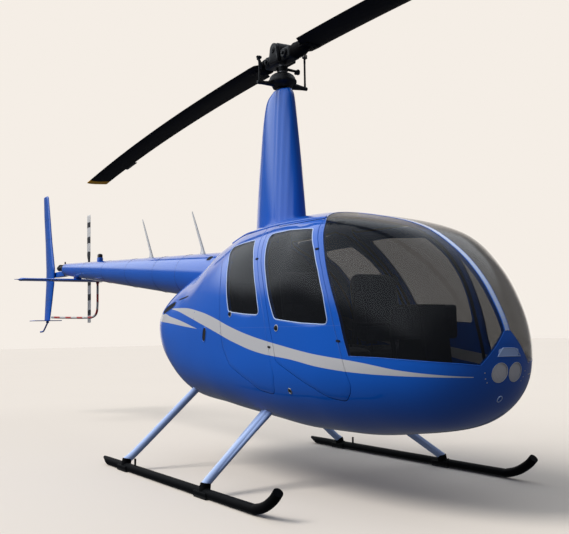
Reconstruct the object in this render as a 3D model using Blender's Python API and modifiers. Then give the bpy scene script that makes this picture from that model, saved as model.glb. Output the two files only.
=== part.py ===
"""Light four-seat helicopter, parked on its skids, one object for each sub-part.

Metres, +Z up, +X towards the nose, +Y to port. Places are given from the foot
of the rotor mast on the ground. A parent empty moves that point along X, so
that the origin lies on the ground at the middle of the whole machine.
"""
import math

import bmesh
import bpy
import numpy as np
from mathutils import Matrix, Vector

# Main rotor and mast
ROTOR_RADIUS = 5.03
ROTOR_TURN = math.radians(-3.06)
ROTOR_TEETER = math.radians(0.71)
BLADE_CHORD = 0.26
BLADE_LEAD = 0.112
BLADE_ROOT = 0.27
BLADE_THICK = 0.030
BLADE_DROOP = 0.252
HUB_HEIGHT = 3.198
HUB_LENGTH = 0.40
TEETER_RISE = 0.057
TEETER_RADIUS = 0.065
SHAFT_RADIUS = 0.030
MAST_TUBE_RADIUS = 0.046
LINK_SPREAD = 0.205
LINK_LOW = 2.98
LINK_HIGH = {1: 3.235, -1: 3.18}

# Tail
BOOM_FRONT = -0.56
BOOM_REAR = -5.56
BOOM_END = -5.31
BOOM_SLOPE = 0.0841
BOOM_CENTRE_REAR = 1.9145
BOOM_RADIUS_REAR = 0.0735
BOOM_RADIUS_SLOPE = 0.0318
BOOM_WALL = 0.004
TAIL_ROTOR = Vector((-5.655, 0.405, 1.943))
TAIL_ROTOR_RADIUS = 0.7366
TAIL_CHORD = 0.13
TAIL_SKID_END = -6.31

# Skids
SKID_TRACK = 1.02
SKID_RADIUS = 0.031
SKID_HEIGHT = 0.032
SKID_REAR = -1.19
LEG_RADIUS = 0.029

# Walls and gaps
WALL = 0.028
GLASS = 0.006
FIT = 0.0003
DOOR_GAP = 0.008
BOW_HALF = 0.018

# Origin: the middle of the length from the tail skid to the front blade tip
BLADE_REACH = ROTOR_RADIUS * math.cos(ROTOR_TURN) - BLADE_LEAD * math.sin(ROTOR_TURN)
MAST_X = round(-(BLADE_REACH + TAIL_SKID_END) / 2, 4)

# Cabin and cowl sections: x, bottom, widest height, top, half width, roundness below, above
STATIONS = (
    (2.270, 0.95, 0.95, 0.950, 0.000, 2.0, 2.0),
    (2.200, 0.68, 0.92, 1.165, 0.246, 2.2, 1.9),
    (2.100, 0.57, 0.91, 1.320, 0.362, 2.3, 2.25),
    (1.900, 0.47, 0.90, 1.515, 0.478, 2.35, 2.95),
    (1.600, 0.42, 0.90, 1.690, 0.572, 2.4, 3.7),
    (1.200, 0.383, 0.89, 1.800, 0.630, 2.4, 3.6),
    (0.800, 0.382, 0.885, 1.868, 0.643, 2.5, 2.8),
    (0.400, 0.410, 0.88, 1.884, 0.641, 2.5, 2.6),
    (0.000, 0.440, 0.88, 1.876, 0.629, 2.5, 2.4),
    (-0.400, 0.469, 0.92, 1.815, 0.607, 2.45, 2.15),
    (-0.800, 0.490, 0.98, 1.670, 0.576, 2.4, 1.95),
    (-1.150, 0.610, 1.058, 1.524, 0.533, 2.15, 2.05),
    (-1.400, 0.816, 1.125, 1.344, 0.417, 2.0, 2.35),
    (-1.550, 1.10, 1.10, 1.100, 0.000, 2.0, 2.0),
)
NOSE_X = STATIONS[0][0]
TAIL_X = STATIONS[-1][0]
HULL_MIDDLE = (NOSE_X + TAIL_X) / 2
HULL_HALF = (NOSE_X - TAIL_X) / 2
SKIN_GRID = (26, 32)
LINING_GRID = (16, 20)

# Side outlines, (x, z), with one corner radius each
FRONT_DOOR = (
    (1.100, 1.765, 0.03), (1.250, 1.570, 0.2), (1.335, 1.420, 0.2), (1.400, 1.267, 0.2),
    (1.452, 1.097, 0.2), (1.500, 0.950, 0.2), (1.565, 0.720, 0.05), (1.490, 0.645, 0.05),
    (1.370, 0.662, 0.1), (1.177, 0.738, 0.2), (0.880, 0.865, 0.03), (0.850, 0.980, 0.1),
    (0.800, 1.120, 0.2), (0.745, 1.258, 0.2), (0.672, 1.394, 0.2), (0.580, 1.537, 0.2),
    (0.440, 1.780, 0.03),
)
FRONT_WINDOW = (
    (1.097, 1.703, 0.03), (1.230, 1.546, 0.2), (1.307, 1.416, 0.2), (1.370, 1.267, 0.2),
    (1.418, 1.085, 0.03), (1.152, 1.100, 0.2), (0.860, 1.130, 0.05), (0.780, 1.258, 0.2),
    (0.708, 1.394, 0.2), (0.616, 1.537, 0.2), (0.500, 1.730, 0.03), (0.760, 1.732, 0.2),
)
REAR_DOOR = (
    (0.330, 1.785, 0.03), (0.475, 1.580, 0.2), (0.555, 1.472, 0.2), (0.640, 1.334, 0.2),
    (0.715, 1.165, 0.2), (0.765, 1.000, 0.2), (0.835, 0.760, 0.05), (0.790, 0.650, 0.05),
    (0.623, 0.670, 0.1), (0.477, 0.730, 0.2), (0.257, 0.818, 0.06), (0.150, 0.940, 0.08),
    (0.110, 1.070, 0.2), (0.050, 1.288, 0.2), (-0.034, 1.476, 0.2), (-0.157, 1.639, 0.2),
    (-0.270, 1.755, 0.03),
)
REAR_WINDOW = (
    (0.303, 1.708, 0.03), (0.423, 1.580, 0.2), (0.503, 1.472, 0.2), (0.590, 1.334, 0.2),
    (0.668, 1.160, 0.03), (0.443, 1.173, 0.2), (0.215, 1.195, 0.04), (0.170, 1.279, 0.2),
    (0.091, 1.432, 0.2), (0.005, 1.571, 0.2), (-0.115, 1.690, 0.04), (0.091, 1.705, 0.2),
)
WINDSHIELD = (
    (0.930, 1.950, 0.0), (0.966, 1.845, 0.0), (1.158, 1.738, 0.1), (1.248, 1.641, 0.2),
    (1.318, 1.539, 0.2), (1.381, 1.414, 0.2), (1.448, 1.263, 0.2), (1.502, 1.127, 0.2),
    (1.534, 1.011, 0.1), (1.572, 0.900, 0.02), (1.791, 0.893, 0.2), (2.016, 0.877, 0.2),
    (2.174, 0.862, 0.0), (2.400, 0.845, 0.0), (2.400, 1.950, 0.0),
)
COWL_SEAM = (
    (-0.520, 2.00, 0.0), (-0.400, 1.72, 0.1), (-0.060, 1.05, 0.1), (0.015, 0.80, 0.1),
    (-0.030, 0.60, 0.1), (-0.030, 0.30, 0.0),
)
NOSE_PEAK = 1.038
NOSE_FOOT = 0.849
NOSE_FOOT_HALF = 0.181

# Door hinges: where the axis passes at two heights, right side
FRONT_HINGE = (Vector((1.505, -0.616, 1.00)), Vector((1.3325, -0.616, 1.50)))
REAR_HINGE = (Vector((0.805, -0.672, 1.00)), Vector((0.575, -0.604, 1.50)))
HINGE_RADIUS = 0.008
HINGE_LENGTH = 0.028

SIDES = (("right", -1), ("left", 1))

PALETTE = {
    "blue paint": ((0.010, 0.085, 0.42), 0.0, 0.25),
    "smoked glass": ((0.03, 0.03, 0.035), 0.0, 0.05),
    "black metal": ((0.015, 0.015, 0.017), 0.6, 0.45),
    "blade black": ((0.008, 0.008, 0.009), 0.0, 0.5),
    "white black stripe": ((0.55, 0.54, 0.52), 0.0, 0.4),
    "red white stripe": ((0.5, 0.05, 0.05), 0.0, 0.4),
    "grey cloth": ((0.06, 0.06, 0.065), 0.0, 0.9),
    "trim grey": ((0.09, 0.09, 0.095), 0.0, 0.7),
    "light grey": ((0.55, 0.52, 0.50), 0.0, 0.4),
    "lamp glass": ((0.75, 0.75, 0.75), 0.2, 0.1),
    "engine metal": ((0.25, 0.25, 0.26), 0.8, 0.5),
}

for old in list(bpy.data.objects):
    bpy.data.objects.remove(old, do_unlink=True)


def collection(name):
    made = bpy.data.collections.new(name)
    bpy.context.scene.collection.children.link(made)
    return made


PARTS = collection("helicopter")
CUTTERS = collection("cutters")


def empty(name, place, parent=None):
    """A joint's or the frame's reference point."""
    made = bpy.data.objects.new(name, None)
    made.empty_display_size = 0.1
    made.location = place
    made.parent = parent
    PARTS.objects.link(made)
    return made


FRAME = empty("mast_foot", (MAST_X, 0, 0))


def material(name):
    found = bpy.data.materials.get(name)
    if found:
        return found
    colour, metallic, rough = PALETTE[name]
    made = bpy.data.materials.new(name)
    made.use_nodes = True
    shader = made.node_tree.nodes["Principled BSDF"]
    shader.inputs["Base Color"].default_value = (*colour, 1)
    shader.inputs["Metallic"].default_value = metallic
    shader.inputs["Roughness"].default_value = rough
    made.diffuse_color = (*colour, 1)
    return made


def part(name, mesh, finish, pivot=None, smooth=35):
    """A sub-part's object, its mesh given from the mast's foot."""
    made = bpy.data.objects.new(name, mesh)
    PARTS.objects.link(made)
    if pivot:
        mesh.transform(Matrix.Translation(-pivot.location))
        made.parent = pivot
    else:
        made.parent = FRAME
    mesh.materials.clear()
    mesh.materials.append(material(finish))
    mesh.shade_smooth()
    mesh.set_sharp_from_angle(angle=math.radians(smooth))
    return made


def tool(name, mesh, pivot=None):
    """A cutter, kept out of the part itself."""
    made = bpy.data.objects.new(name, mesh)
    CUTTERS.objects.link(made)
    made.hide_render = True
    made.display_type = "WIRE"
    if pivot:
        mesh.transform(Matrix.Translation(-pivot.location))
        made.parent = pivot
    else:
        made.parent = FRAME
    return made


def cut(target, cutter, operation="DIFFERENCE"):
    step = target.modifiers.new(operation.lower(), "BOOLEAN")
    step.operation = operation
    step.solver = "EXACT"
    step.object = cutter
    return step


def new_mesh(name, build):
    """A mesh filled by build(bm), with its faces pointing out."""
    bm = bmesh.new()
    build(bm)
    bmesh.ops.recalc_face_normals(bm, faces=bm.faces)
    mesh = bpy.data.meshes.new(name)
    bm.to_mesh(mesh)
    bm.free()
    return mesh


def block(name, low, high, bevel=0.0):
    """A box between two corners, with rounded edges."""
    low, high = Vector(low), Vector(high)

    def build(bm):
        bmesh.ops.create_cube(bm, size=1)
        bmesh.ops.scale(bm, vec=high - low, verts=bm.verts)
        bmesh.ops.translate(bm, vec=(low + high) / 2, verts=bm.verts)
        if bevel:
            bmesh.ops.bevel(bm, geom=bm.edges[:], offset=bevel, segments=2, affect="EDGES", profile=0.5)

    return new_mesh(name, build)


def rod(name, start, end, radius, end_radius=None, sides=16):
    """A straight round bar or cone between two points."""
    start, end = Vector(start), Vector(end)
    run = end - start
    turn = run.to_track_quat("Z", "Y").to_matrix().to_4x4()

    def build(bm):
        bmesh.ops.create_cone(
            bm, cap_ends=True, segments=sides, radius1=radius,
            radius2=radius if end_radius is None else end_radius, depth=run.length,
        )
        bmesh.ops.transform(bm, matrix=Matrix.Translation((start + end) / 2) @ turn, verts=bm.verts)

    return new_mesh(name, build)


def joined(name, meshes):
    """Several overlapping closed meshes made one body."""
    base = bpy.data.objects.new(name, meshes[0])
    CUTTERS.objects.link(base)
    helpers = []
    for extra in meshes[1:]:
        helper = bpy.data.objects.new(name, extra)
        CUTTERS.objects.link(helper)
        helpers.append(helper)
        cut(base, helper, "UNION")
    bpy.context.view_layer.update()
    graph = bpy.context.evaluated_depsgraph_get()
    result = bpy.data.meshes.new_from_object(base.evaluated_get(graph), depsgraph=graph)
    result.name = name
    for spent in (*helpers, base):
        bpy.data.objects.remove(spent, do_unlink=True)
    return result


def fluted(bm, rings, closed_ends=True):
    """Skin a list of rings of equal length with quads, and cap the ends."""
    loops = [[bm.verts.new(p) for p in ring] for ring in rings]
    count = len(loops[0])
    for one, two in zip(loops, loops[1:]):
        for k in range(count):
            bm.faces.new((one[k], one[(k + 1) % count], two[(k + 1) % count], two[k]))
    if closed_ends:
        bm.faces.new(loops[0])
        bm.faces.new(loops[-1][::-1])


def loft(name, rings, closed_ends=True):
    return new_mesh(name, lambda bm: fluted(bm, rings, closed_ends))


def tube(name, points, radius, sides=12, smooth_points=0):
    """A round tube along a path, with filled caps. The path can be a smooth curve."""
    if smooth_points:
        points = smooth_path(points, smooth_points)
    curve = bpy.data.curves.new(name, "CURVE")
    curve.dimensions = "3D"
    curve.bevel_depth = radius
    curve.bevel_resolution = (sides - 4) // 2
    curve.use_fill_caps = True
    line = curve.splines.new("POLY")
    line.points.add(len(points) - 1)
    for spot, place in zip(line.points, points):
        spot.co = (*place, 1)
    return curve_to_mesh(name, curve)


def curve_to_mesh(name, curve):
    holder = bpy.data.objects.new(name, curve)
    CUTTERS.objects.link(holder)
    bpy.context.view_layer.update()
    graph = bpy.context.evaluated_depsgraph_get()
    mesh = bpy.data.meshes.new_from_object(holder.evaluated_get(graph), depsgraph=graph)
    mesh.name = name
    bpy.data.objects.remove(holder, do_unlink=True)
    bm = bmesh.new()
    bm.from_mesh(mesh)
    bmesh.ops.remove_doubles(bm, verts=bm.verts, dist=1e-5)
    bmesh.ops.recalc_face_normals(bm, faces=bm.faces)
    bm.to_mesh(mesh)
    bm.free()
    return mesh


def smooth_path(points, count):
    """Points on a Catmull-Rom curve through the given ones."""
    pts = [Vector(p) for p in points]
    pts = [2 * pts[0] - pts[1], *pts, 2 * pts[-1] - pts[-2]]
    made = []
    spans = len(pts) - 3
    for k in range(count + 1):
        t = spans * k / count
        i = min(int(t), spans - 1)
        u = t - i
        a, b, c, d = pts[i:i + 4]
        made.append(0.5 * (2 * b + (c - a) * u + (2 * a - 5 * b + 4 * c - d) * u * u
                           + (3 * b - a - 3 * c + d) * u ** 3))
    return made


def rounded(outline, steps=3):
    """An outline's corners as arcs: each point is (x, z, radius)."""
    made = []
    count = len(outline)
    for k, (x, z, radius) in enumerate(outline):
        here = Vector((x, z))
        before = Vector(outline[k - 1][:2]) - here
        after = Vector(outline[(k + 1) % count][:2]) - here
        reach = min(before.length, after.length) * 0.45
        half = before.angle(after) / 2
        if radius <= 0 or abs(math.pi / 2 - half) < 0.01:
            made.append(here)
            continue
        trim = min(radius / math.tan(half), reach)
        start = here + before.normalized() * trim
        end = here + after.normalized() * trim
        sharp = abs(math.pi / 2 - half) > 0.35
        pieces = steps if sharp else 1
        for i in range(pieces + 1):
            t = i / pieces
            made.append(start * (1 - t) ** 2 + here * 2 * t * (1 - t) + end * t * t)
    return made


def grown(points, by):
    """The outline moved outwards by a distance, or inwards if that is negative."""
    area = sum(a.x * b.y - b.x * a.y for a, b in zip(points, points[1:] + points[:1]))
    sign = 1 if area > 0 else -1
    made = []
    for k, here in enumerate(points):
        one = (here - points[k - 1]).normalized()
        two = (points[(k + 1) % len(points)] - here).normalized()
        side_one = Vector((one.y, -one.x)) * sign
        side_two = Vector((two.y, -two.x)) * sign
        out = (side_one + side_two).normalized()
        made.append(here + out * by / max(out.dot(side_one), 0.5))
    return made


def prism(name, points, low, high, facing="Y"):
    """A flat outline carried from low to high along Y (given as x, z) or X (as y, z) or Z (as x, y)."""
    curve = bpy.data.curves.new(name, "CURVE")
    curve.dimensions = "2D"
    curve.fill_mode = "BOTH"
    curve.extrude = (high - low) / 2
    line = curve.splines.new("POLY")
    line.points.add(len(points) - 1)
    line.use_cyclic_u = True
    for spot, place in zip(line.points, points):
        spot.co = (place[0], place[1], 0, 1)
    mesh = curve_to_mesh(name, curve)
    middle = (low + high) / 2
    turns = {
        "Y": Matrix(((1, 0, 0, 0), (0, 0, -1, middle), (0, 1, 0, 0), (0, 0, 0, 1))),
        "X": Matrix(((0, 0, 1, middle), (1, 0, 0, 0), (0, 1, 0, 0), (0, 0, 0, 1))),
        "Z": Matrix.Translation((0, 0, middle)),
    }
    mesh.transform(turns[facing])
    return mesh


def turned(name, profile, centre, sides=24):
    """A profile of (radius, height) turned about Z by a Screw modifier."""
    mesh = bpy.data.meshes.new(name)
    mesh.from_pydata([(r, 0, z) for r, z in profile], [(k, k + 1) for k in range(len(profile) - 1)], [])
    holder = bpy.data.objects.new(name, mesh)
    CUTTERS.objects.link(holder)
    spin = holder.modifiers.new("turn", "SCREW")
    spin.steps = sides
    spin.render_steps = sides
    spin.use_merge_vertices = True
    spin.merge_threshold = 0.00005
    bpy.context.view_layer.update()
    graph = bpy.context.evaluated_depsgraph_get()
    made = bpy.data.meshes.new_from_object(holder.evaluated_get(graph), depsgraph=graph)
    bpy.data.objects.remove(holder, do_unlink=True)
    bm = bmesh.new()
    bm.from_mesh(made)
    bmesh.ops.remove_doubles(bm, verts=bm.verts, dist=1e-5)
    bmesh.ops.recalc_face_normals(bm, faces=bm.faces)
    bm.to_mesh(made)
    bm.free()
    made.transform(Matrix.Translation(centre))
    made.name = name
    return made


def monotone(xs, ys, x):
    """Piecewise cubic through the points, with no overshoot."""
    xs, ys = np.asarray(xs, float), np.asarray(ys, float)
    step = np.diff(xs)
    slope = np.diff(ys) / step
    tangent = np.zeros_like(ys)
    w1 = 2 * step[1:] + step[:-1]
    w2 = step[1:] + 2 * step[:-1]
    same = slope[:-1] * slope[1:] > 0
    safe_a = np.where(same, slope[:-1], 1)
    safe_b = np.where(same, slope[1:], 1)
    tangent[1:-1] = np.where(same, (w1 + w2) / (w1 / safe_a + w2 / safe_b), 0)

    def end_slope(h0, h1, d0, d1):
        d = ((2 * h0 + h1) * d0 - h0 * d1) / (h0 + h1)
        if d * d0 <= 0:
            return 0.0
        if d0 * d1 <= 0 and abs(d) > 3 * abs(d0):
            return 3 * d0
        return d

    tangent[0] = end_slope(step[0], step[1], slope[0], slope[1])
    tangent[-1] = end_slope(step[-1], step[-2], slope[-1], slope[-2])
    k = np.clip(np.searchsorted(xs, x) - 1, 0, len(step) - 1)
    t = (x - xs[k]) / step[k]
    h = step[k]
    return ((1 + 2 * t) * (1 - t) ** 2 * ys[k] + t * (1 - t) ** 2 * h * tangent[k]
            + t * t * (3 - 2 * t) * ys[k + 1] + t * t * (t - 1) * h * tangent[k + 1])


def lengthwise(x):
    """The angle, 0 at the nose and pi at the tail, that spaces sections along the hull."""
    return np.arccos(np.clip((np.asarray(x, float) - HULL_MIDDLE) / HULL_HALF, -1, 1))


STATION_ANGLES = lengthwise([s[0] for s in STATIONS])


def hull_points(along, around):
    """Points of the outer skin: superellipse sections, one exponent above and one below."""
    x = HULL_MIDDLE + HULL_HALF * np.cos(along)
    bottom, wide, top, half, low_n, high_n = [
        monotone(STATION_ANGLES, [s[k] for s in STATIONS], along) for k in range(1, 7)
    ]
    c, s = np.cos(around), np.sin(around)
    n = np.where(s >= 0, high_n, low_n)
    y = half * np.sign(c) * np.abs(c) ** (2 / n)
    rise = np.where(s >= 0, top - wide, wide - bottom)
    z = wide + rise * np.sign(s) * np.abs(s) ** (2 / n)
    return np.stack([x, y, z], -1)


def hull(name, depth=0.0, grid=SKIN_GRID):
    """The cabin and cowl as one closed egg, its skin set in by depth."""
    lengths, count = grid
    along = np.linspace(0, math.pi, lengths + 1)[1:-1, None]
    around = (np.arange(count) * 2 * math.pi / count)[None, :]
    skin = hull_points(*np.broadcast_arrays(along, around))
    nose = Vector((NOSE_X, 0, STATIONS[0][1]))
    tail = Vector((TAIL_X, 0, STATIONS[-1][1]))
    if depth:
        du = np.gradient(skin, axis=0)
        dv = np.roll(skin, -1, 1) - np.roll(skin, 1, 1)
        normal = np.cross(du, dv)
        normal /= np.linalg.norm(normal, axis=-1, keepdims=True)
        centre = np.array((HULL_MIDDLE, 0, 0.95))
        normal *= np.sign(((skin - centre) * normal).sum(-1, keepdims=True))
        skin = skin - normal * depth
        nose.x -= depth
        tail.x += depth

    def build(bm):
        rings = [[bm.verts.new(p) for p in ring] for ring in skin]
        for one, two in zip(rings, rings[1:]):
            for k in range(count):
                bm.faces.new((one[k], one[(k + 1) % count], two[(k + 1) % count], two[k]))
        for tip, ring in ((nose, rings[0]), (tail, rings[-1])):
            point = bm.verts.new(tip)
            for k in range(count):
                bm.faces.new((ring[k], ring[(k + 1) % count], point))
        bmesh.ops.triangulate(bm, faces=bm.faces, quad_method="FIXED")

    return new_mesh(name, build)


def skin_y(x, z):
    """Half width of the outer skin at a place in the side view."""
    angle = float(lengthwise(x))
    bottom, wide, top, half, low_n, high_n = [
        float(monotone(STATION_ANGLES, [s[k] for s in STATIONS], np.array([angle]))[0]) for k in range(1, 7)
    ]
    n = high_n if z >= wide else low_n
    rise = (z - wide) / (top - wide) if z >= wide else (wide - z) / (wide - bottom)
    return half * max(0.0, 1 - min(rise, 1) ** n) ** (1 / n)


def boom_centre(x):
    return BOOM_CENTRE_REAR - BOOM_SLOPE * (x - BOOM_REAR)


def boom_radius(x):
    return BOOM_RADIUS_REAR + BOOM_RADIUS_SLOPE * (x - BOOM_REAR)


def doorway(outline):
    """A door's opening: a gap all round, wider where the door swings aft or down past the frame."""
    points = rounded(outline)
    made = []
    for here, there in zip(points, grown(points, DOOR_GAP)):
        out = there - here
        ease = 0.0
        if out.x < 0 and here.y > 1.40:
            ease = 1.7 * min((here.y - 1.40) / 0.25, 1)
        elif out.y < 0 and here.y < 0.70:
            ease = 0.6
        made.append(there + out * ease)
    return made


def side_region(name, outline, side, by=0.0):
    """A door or window outline carried through one side of the cabin."""
    points = grown(rounded(outline), by)
    low, high = (0.06, 0.9) if side > 0 else (-0.9, -0.06)
    return prism(name, points, low, high)


def leg_path(foot_x, belly_x, belly_half, belly_z, height):
    """The cross tube's right half, from the skid up to the middle of the belly."""
    return [
        (foot_x, -SKID_TRACK, 0.075), (foot_x + 0.2 * (belly_x - foot_x), -0.92, 0.15),
        (belly_x, -belly_half, belly_z), (belly_x, -belly_half + 0.12, height),
        (belly_x, 0, height),
    ]


def mirrored_path(points):
    return points + [(x, -y, z) for x, y, z in reversed(points[:-1])]


# The airframe's skins
OUTER = hull("outer skin")
INNER = hull("inner skin", WALL, LINING_GRID)
GLASS_INNER = hull("glass inner skin", GLASS)
LINER = hull("liner", WALL + FIT, LINING_GRID)
COWL_WALL = 0.02
COWL_INNER = hull("cowl inner skin", COWL_WALL, LINING_GRID)
inner_tool = tool("cabin_hollow", INNER)
glass_tool = tool("glass_hollow", GLASS_INNER)
cowl_tool = tool("cowl_hollow", COWL_INNER)

seam = rounded(COWL_SEAM)
behind_points = [*seam, Vector((-1.9, 0.3)), Vector((-1.9, 2.0))]
behind = tool("behind_seam", prism("behind_seam", behind_points, -0.9, 0.9))
ahead_points = grown(behind_points, FIT)
behind_wide = tool("behind_seam_wide", prism("behind_seam_wide", ahead_points, -0.91, 0.91))

FRONT_LEG = mirrored_path(leg_path(0.60, 0.456, 0.45, 0.495, 0.505))
REAR_LEG = mirrored_path(leg_path(-0.735, -0.72, 0.45, 0.565, 0.62))


def leg_hole(name, path):
    """The socket of a cross tube: its own path, a little wider and longer."""
    points = smooth_path(path, 20)
    longer = 0.001 * (points[0] - points[1]).normalized()
    points[0] += longer
    points[-1] += Vector((longer.x, -longer.y, longer.z))
    return tool(name, tube(name, points, LEG_RADIUS + 0.001, 10))


front_leg_hole = leg_hole("front_leg_hole", FRONT_LEG)
rear_leg_hole = leg_hole("rear_leg_hole", REAR_LEG)

# Cabin frame
cabin = part("cabin_frame", OUTER.copy(), "blue paint")
cut(cabin, inner_tool)
cut(cabin, behind_wide)
for side_name, side in SIDES:
    for door, outline in (("front", FRONT_DOOR), ("rear", REAR_DOOR)):
        hole = f"{door}_doorway_{side_name}"
        cut(cabin, tool(hole, prism(hole, doorway(outline), *sorted((side * 0.06, side * 0.9)))))


def windshield_region(name, side, by=0.0):
    """Half of the windshield: the side outline, less the bow and the nose panel."""
    region = prism(name, grown(rounded(WINDSHIELD), by), 0, 0.9)
    near, foot = BOW_HALF - by, NOSE_FOOT_HALF - by
    front_points = [(near, NOSE_PEAK), (foot, NOSE_FOOT), (foot, 0.6), (0.95, 0.6), (0.95, 2.1), (near, 2.1)]
    front = prism(name, front_points, 0.8, 2.45, "X")
    base = bpy.data.objects.new(name, region)
    helper = bpy.data.objects.new(name, front)
    CUTTERS.objects.link(base)
    CUTTERS.objects.link(helper)
    cut(base, helper, "INTERSECT")
    bpy.context.view_layer.update()
    graph = bpy.context.evaluated_depsgraph_get()
    mesh = bpy.data.meshes.new_from_object(base.evaluated_get(graph), depsgraph=graph)
    for spent in (helper, base):
        bpy.data.objects.remove(spent, do_unlink=True)
    if side < 0:
        mesh.transform(Matrix.Scale(-1, 4, (0, 1, 0)))
        mesh.flip_normals()
    return mesh


for side_name, side in SIDES:
    cut(cabin, tool(f"windshield_hole_{side_name}", windshield_region("hole", side, FIT)))
    pane = part(f"windshield_{side_name}", OUTER.copy(), "smoked glass")
    cut(pane, glass_tool)
    cut(pane, tool(f"windshield_shape_{side_name}", windshield_region("shape", side)), "INTERSECT")
cut(cabin, front_leg_hole)

LAMP_HALF = 0.059
LAMP_HEIGHT = 0.808
LAMP_RADIUS = 0.051
for side_name, side in SIDES:
    y = side * LAMP_HALF
    socket = rod("socket", (2.05, y, LAMP_HEIGHT), (2.4, y, LAMP_HEIGHT), LAMP_RADIUS + FIT, sides=20)
    cut(cabin, tool(f"lamp_hole_{side_name}", socket))
    lamp = joined("lamp", [
        rod("lamp", (2.10, y, LAMP_HEIGHT), (2.215, y, LAMP_HEIGHT), LAMP_RADIUS, sides=20),
        rod("lens", (2.21, y, LAMP_HEIGHT), (2.228, y, LAMP_HEIGHT), LAMP_RADIUS * 0.93,
            LAMP_RADIUS * 0.6, sides=20),
    ])
    part(f"landing_lamp_{side_name}", lamp, "lamp glass")


# Hinge lugs and knuckles
def hinge_axis(ends, side):
    low, high = (Vector((e.x, -side * e.y, e.z)) for e in ends)
    return low, high


def hinge_spots(ends, side):
    """Two places on the axis, with the unit axis."""
    low, high = hinge_axis(ends, side)
    run = (high - low).normalized()
    return [low.lerp(high, 0.04), low.lerp(high, 0.96)], run


def knuckle(name, spot, run, start, end, inward):
    """A barrel on the axis with a flat arm that reaches into its panel."""
    middle = spot + run * (start + end) / 2
    barrel = rod(name, spot + run * start, spot + run * end, HINGE_RADIUS, sides=12)
    arm = rod(name, middle, middle + inward, 0.0065, sides=8)
    return joined(name, [barrel, arm])


DOOR_SETS = (
    ("front", FRONT_DOOR, FRONT_WINDOW, FRONT_HINGE),
    ("rear", REAR_DOOR, REAR_WINDOW, REAR_HINGE),
)


def reach_in(spot, dx, side, depth):
    """From a hinge to a place in the skin, dx along the machine, depth below the surface."""
    x = spot.x + dx
    return Vector((dx, side * (skin_y(x, spot.z) - depth) - spot.y, 0))


for side_name, side in SIDES:
    for door, outline, window, ends in DOOR_SETS:
        spots, run = hinge_spots(ends, side)
        pivot = empty(f"{door}_door_{side_name}_axis", spots[0], FRAME)
        forward = -0.002 if door == "front" else 0.016
        for n, spot in enumerate(spots):
            lug = knuckle("lug", spot, run, -HINGE_LENGTH, -FIT, reach_in(spot, forward, side, 0.012))
            cut(cabin, tool(f"{door}_lug_{side_name}_{n}", lug), "UNION")
        panel = part(f"{door}_door_{side_name}", OUTER.copy(), "blue paint", pivot)
        hollow = tool(f"{door}_door_hollow_{side_name}", INNER.copy(), pivot)
        shape = tool(f"{door}_door_shape_{side_name}", side_region("shape", outline, side), pivot)
        hole = tool(f"{door}_window_hole_{side_name}", side_region("hole", window, side, FIT), pivot)
        cut(panel, hollow)
        cut(panel, shape, "INTERSECT")
        cut(panel, hole)
        for n, spot in enumerate(spots):
            arm = knuckle("arm", spot, run, FIT, HINGE_LENGTH, reach_in(spot, -0.062, side, 0.012))
            cut(panel, tool(f"{door}_arm_{side_name}_{n}", arm, pivot), "UNION")
        pane = part(f"{door}_window_{side_name}", OUTER.copy(), "smoked glass", pivot)
        cut(pane, tool(f"{door}_glass_hollow_{side_name}", GLASS_INNER.copy(), pivot))
        shape = tool(f"{door}_glass_shape_{side_name}", side_region("pane", window, side), pivot)
        cut(pane, shape, "INTERSECT")

# Aft cowl, firewall, floor
cowl = part("aft_cowl", OUTER.copy(), "blue paint")
cut(cowl, cowl_tool)
cut(cowl, behind, "INTERSECT")
cut(cowl, rear_leg_hole)

FIREWALL_THICK = 0.02
wall_points = [Vector((-0.445, 2.0)), Vector((-0.02, 1.05)), Vector((0.045, 0.80)), Vector((0.01, 0.30))]
wall_points += [Vector((p.x + FIREWALL_THICK, p.y)) for p in reversed(wall_points)]
firewall = part("firewall", prism("firewall", wall_points, -0.9, 0.9), "trim grey")
liner_tool = tool("liner_hollow", LINER)
cut(firewall, liner_tool, "INTERSECT")

FLOOR_TOP = 0.58
floor_block = block("floor", (0.075, -0.8, FLOOR_TOP - 0.018), (2.0, 0.8, FLOOR_TOP))
floor = part("cabin_floor", floor_block, "trim grey")
cut(floor, liner_tool, "INTERSECT")


# Boom
def boom_solid(name, grow, front=BOOM_FRONT, rear=BOOM_END):
    return rod(name, (front, 0, boom_centre(front)), (rear, 0, boom_centre(rear)),
               boom_radius(front) + grow, boom_radius(rear) + grow, sides=32)


boom = part("tail_boom", boom_solid("tail_boom", 0), "blue paint")
cut(boom, tool("boom_bore", boom_solid("boom_bore", -BOOM_WALL, BOOM_FRONT + 0.1, BOOM_END - 0.1)))
cut(cowl, tool("boom_hole", boom_solid("boom_hole", FIT, BOOM_FRONT + 0.01)))

# Mast fairing: height, front, rear, half thickness
FAIRING = (
    (1.80, 0.255, -0.415, 0.125), (2.10, 0.230, -0.385, 0.112), (2.45, 0.190, -0.335, 0.095),
    (2.77, 0.150, -0.275, 0.078), (2.90, 0.128, -0.240, 0.068), (2.948, 0.105, -0.150, 0.060),
)


def fairing_ring(height, front, rear, half, grow=0.0, count=24):
    """A rounded nose and a tapering tail, level at one height."""
    ring = []
    for k in range(count):
        a = 2 * math.pi * k / count
        c, s = math.cos(a), math.sin(a)
        if c >= 0:
            x, y = (front + grow) * c, (half + grow) * s
        else:
            x, y = (-rear + grow) * c, (half + grow) * math.copysign(abs(s) ** 1.35, s)
        ring.append((x, y, height))
    return ring


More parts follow.
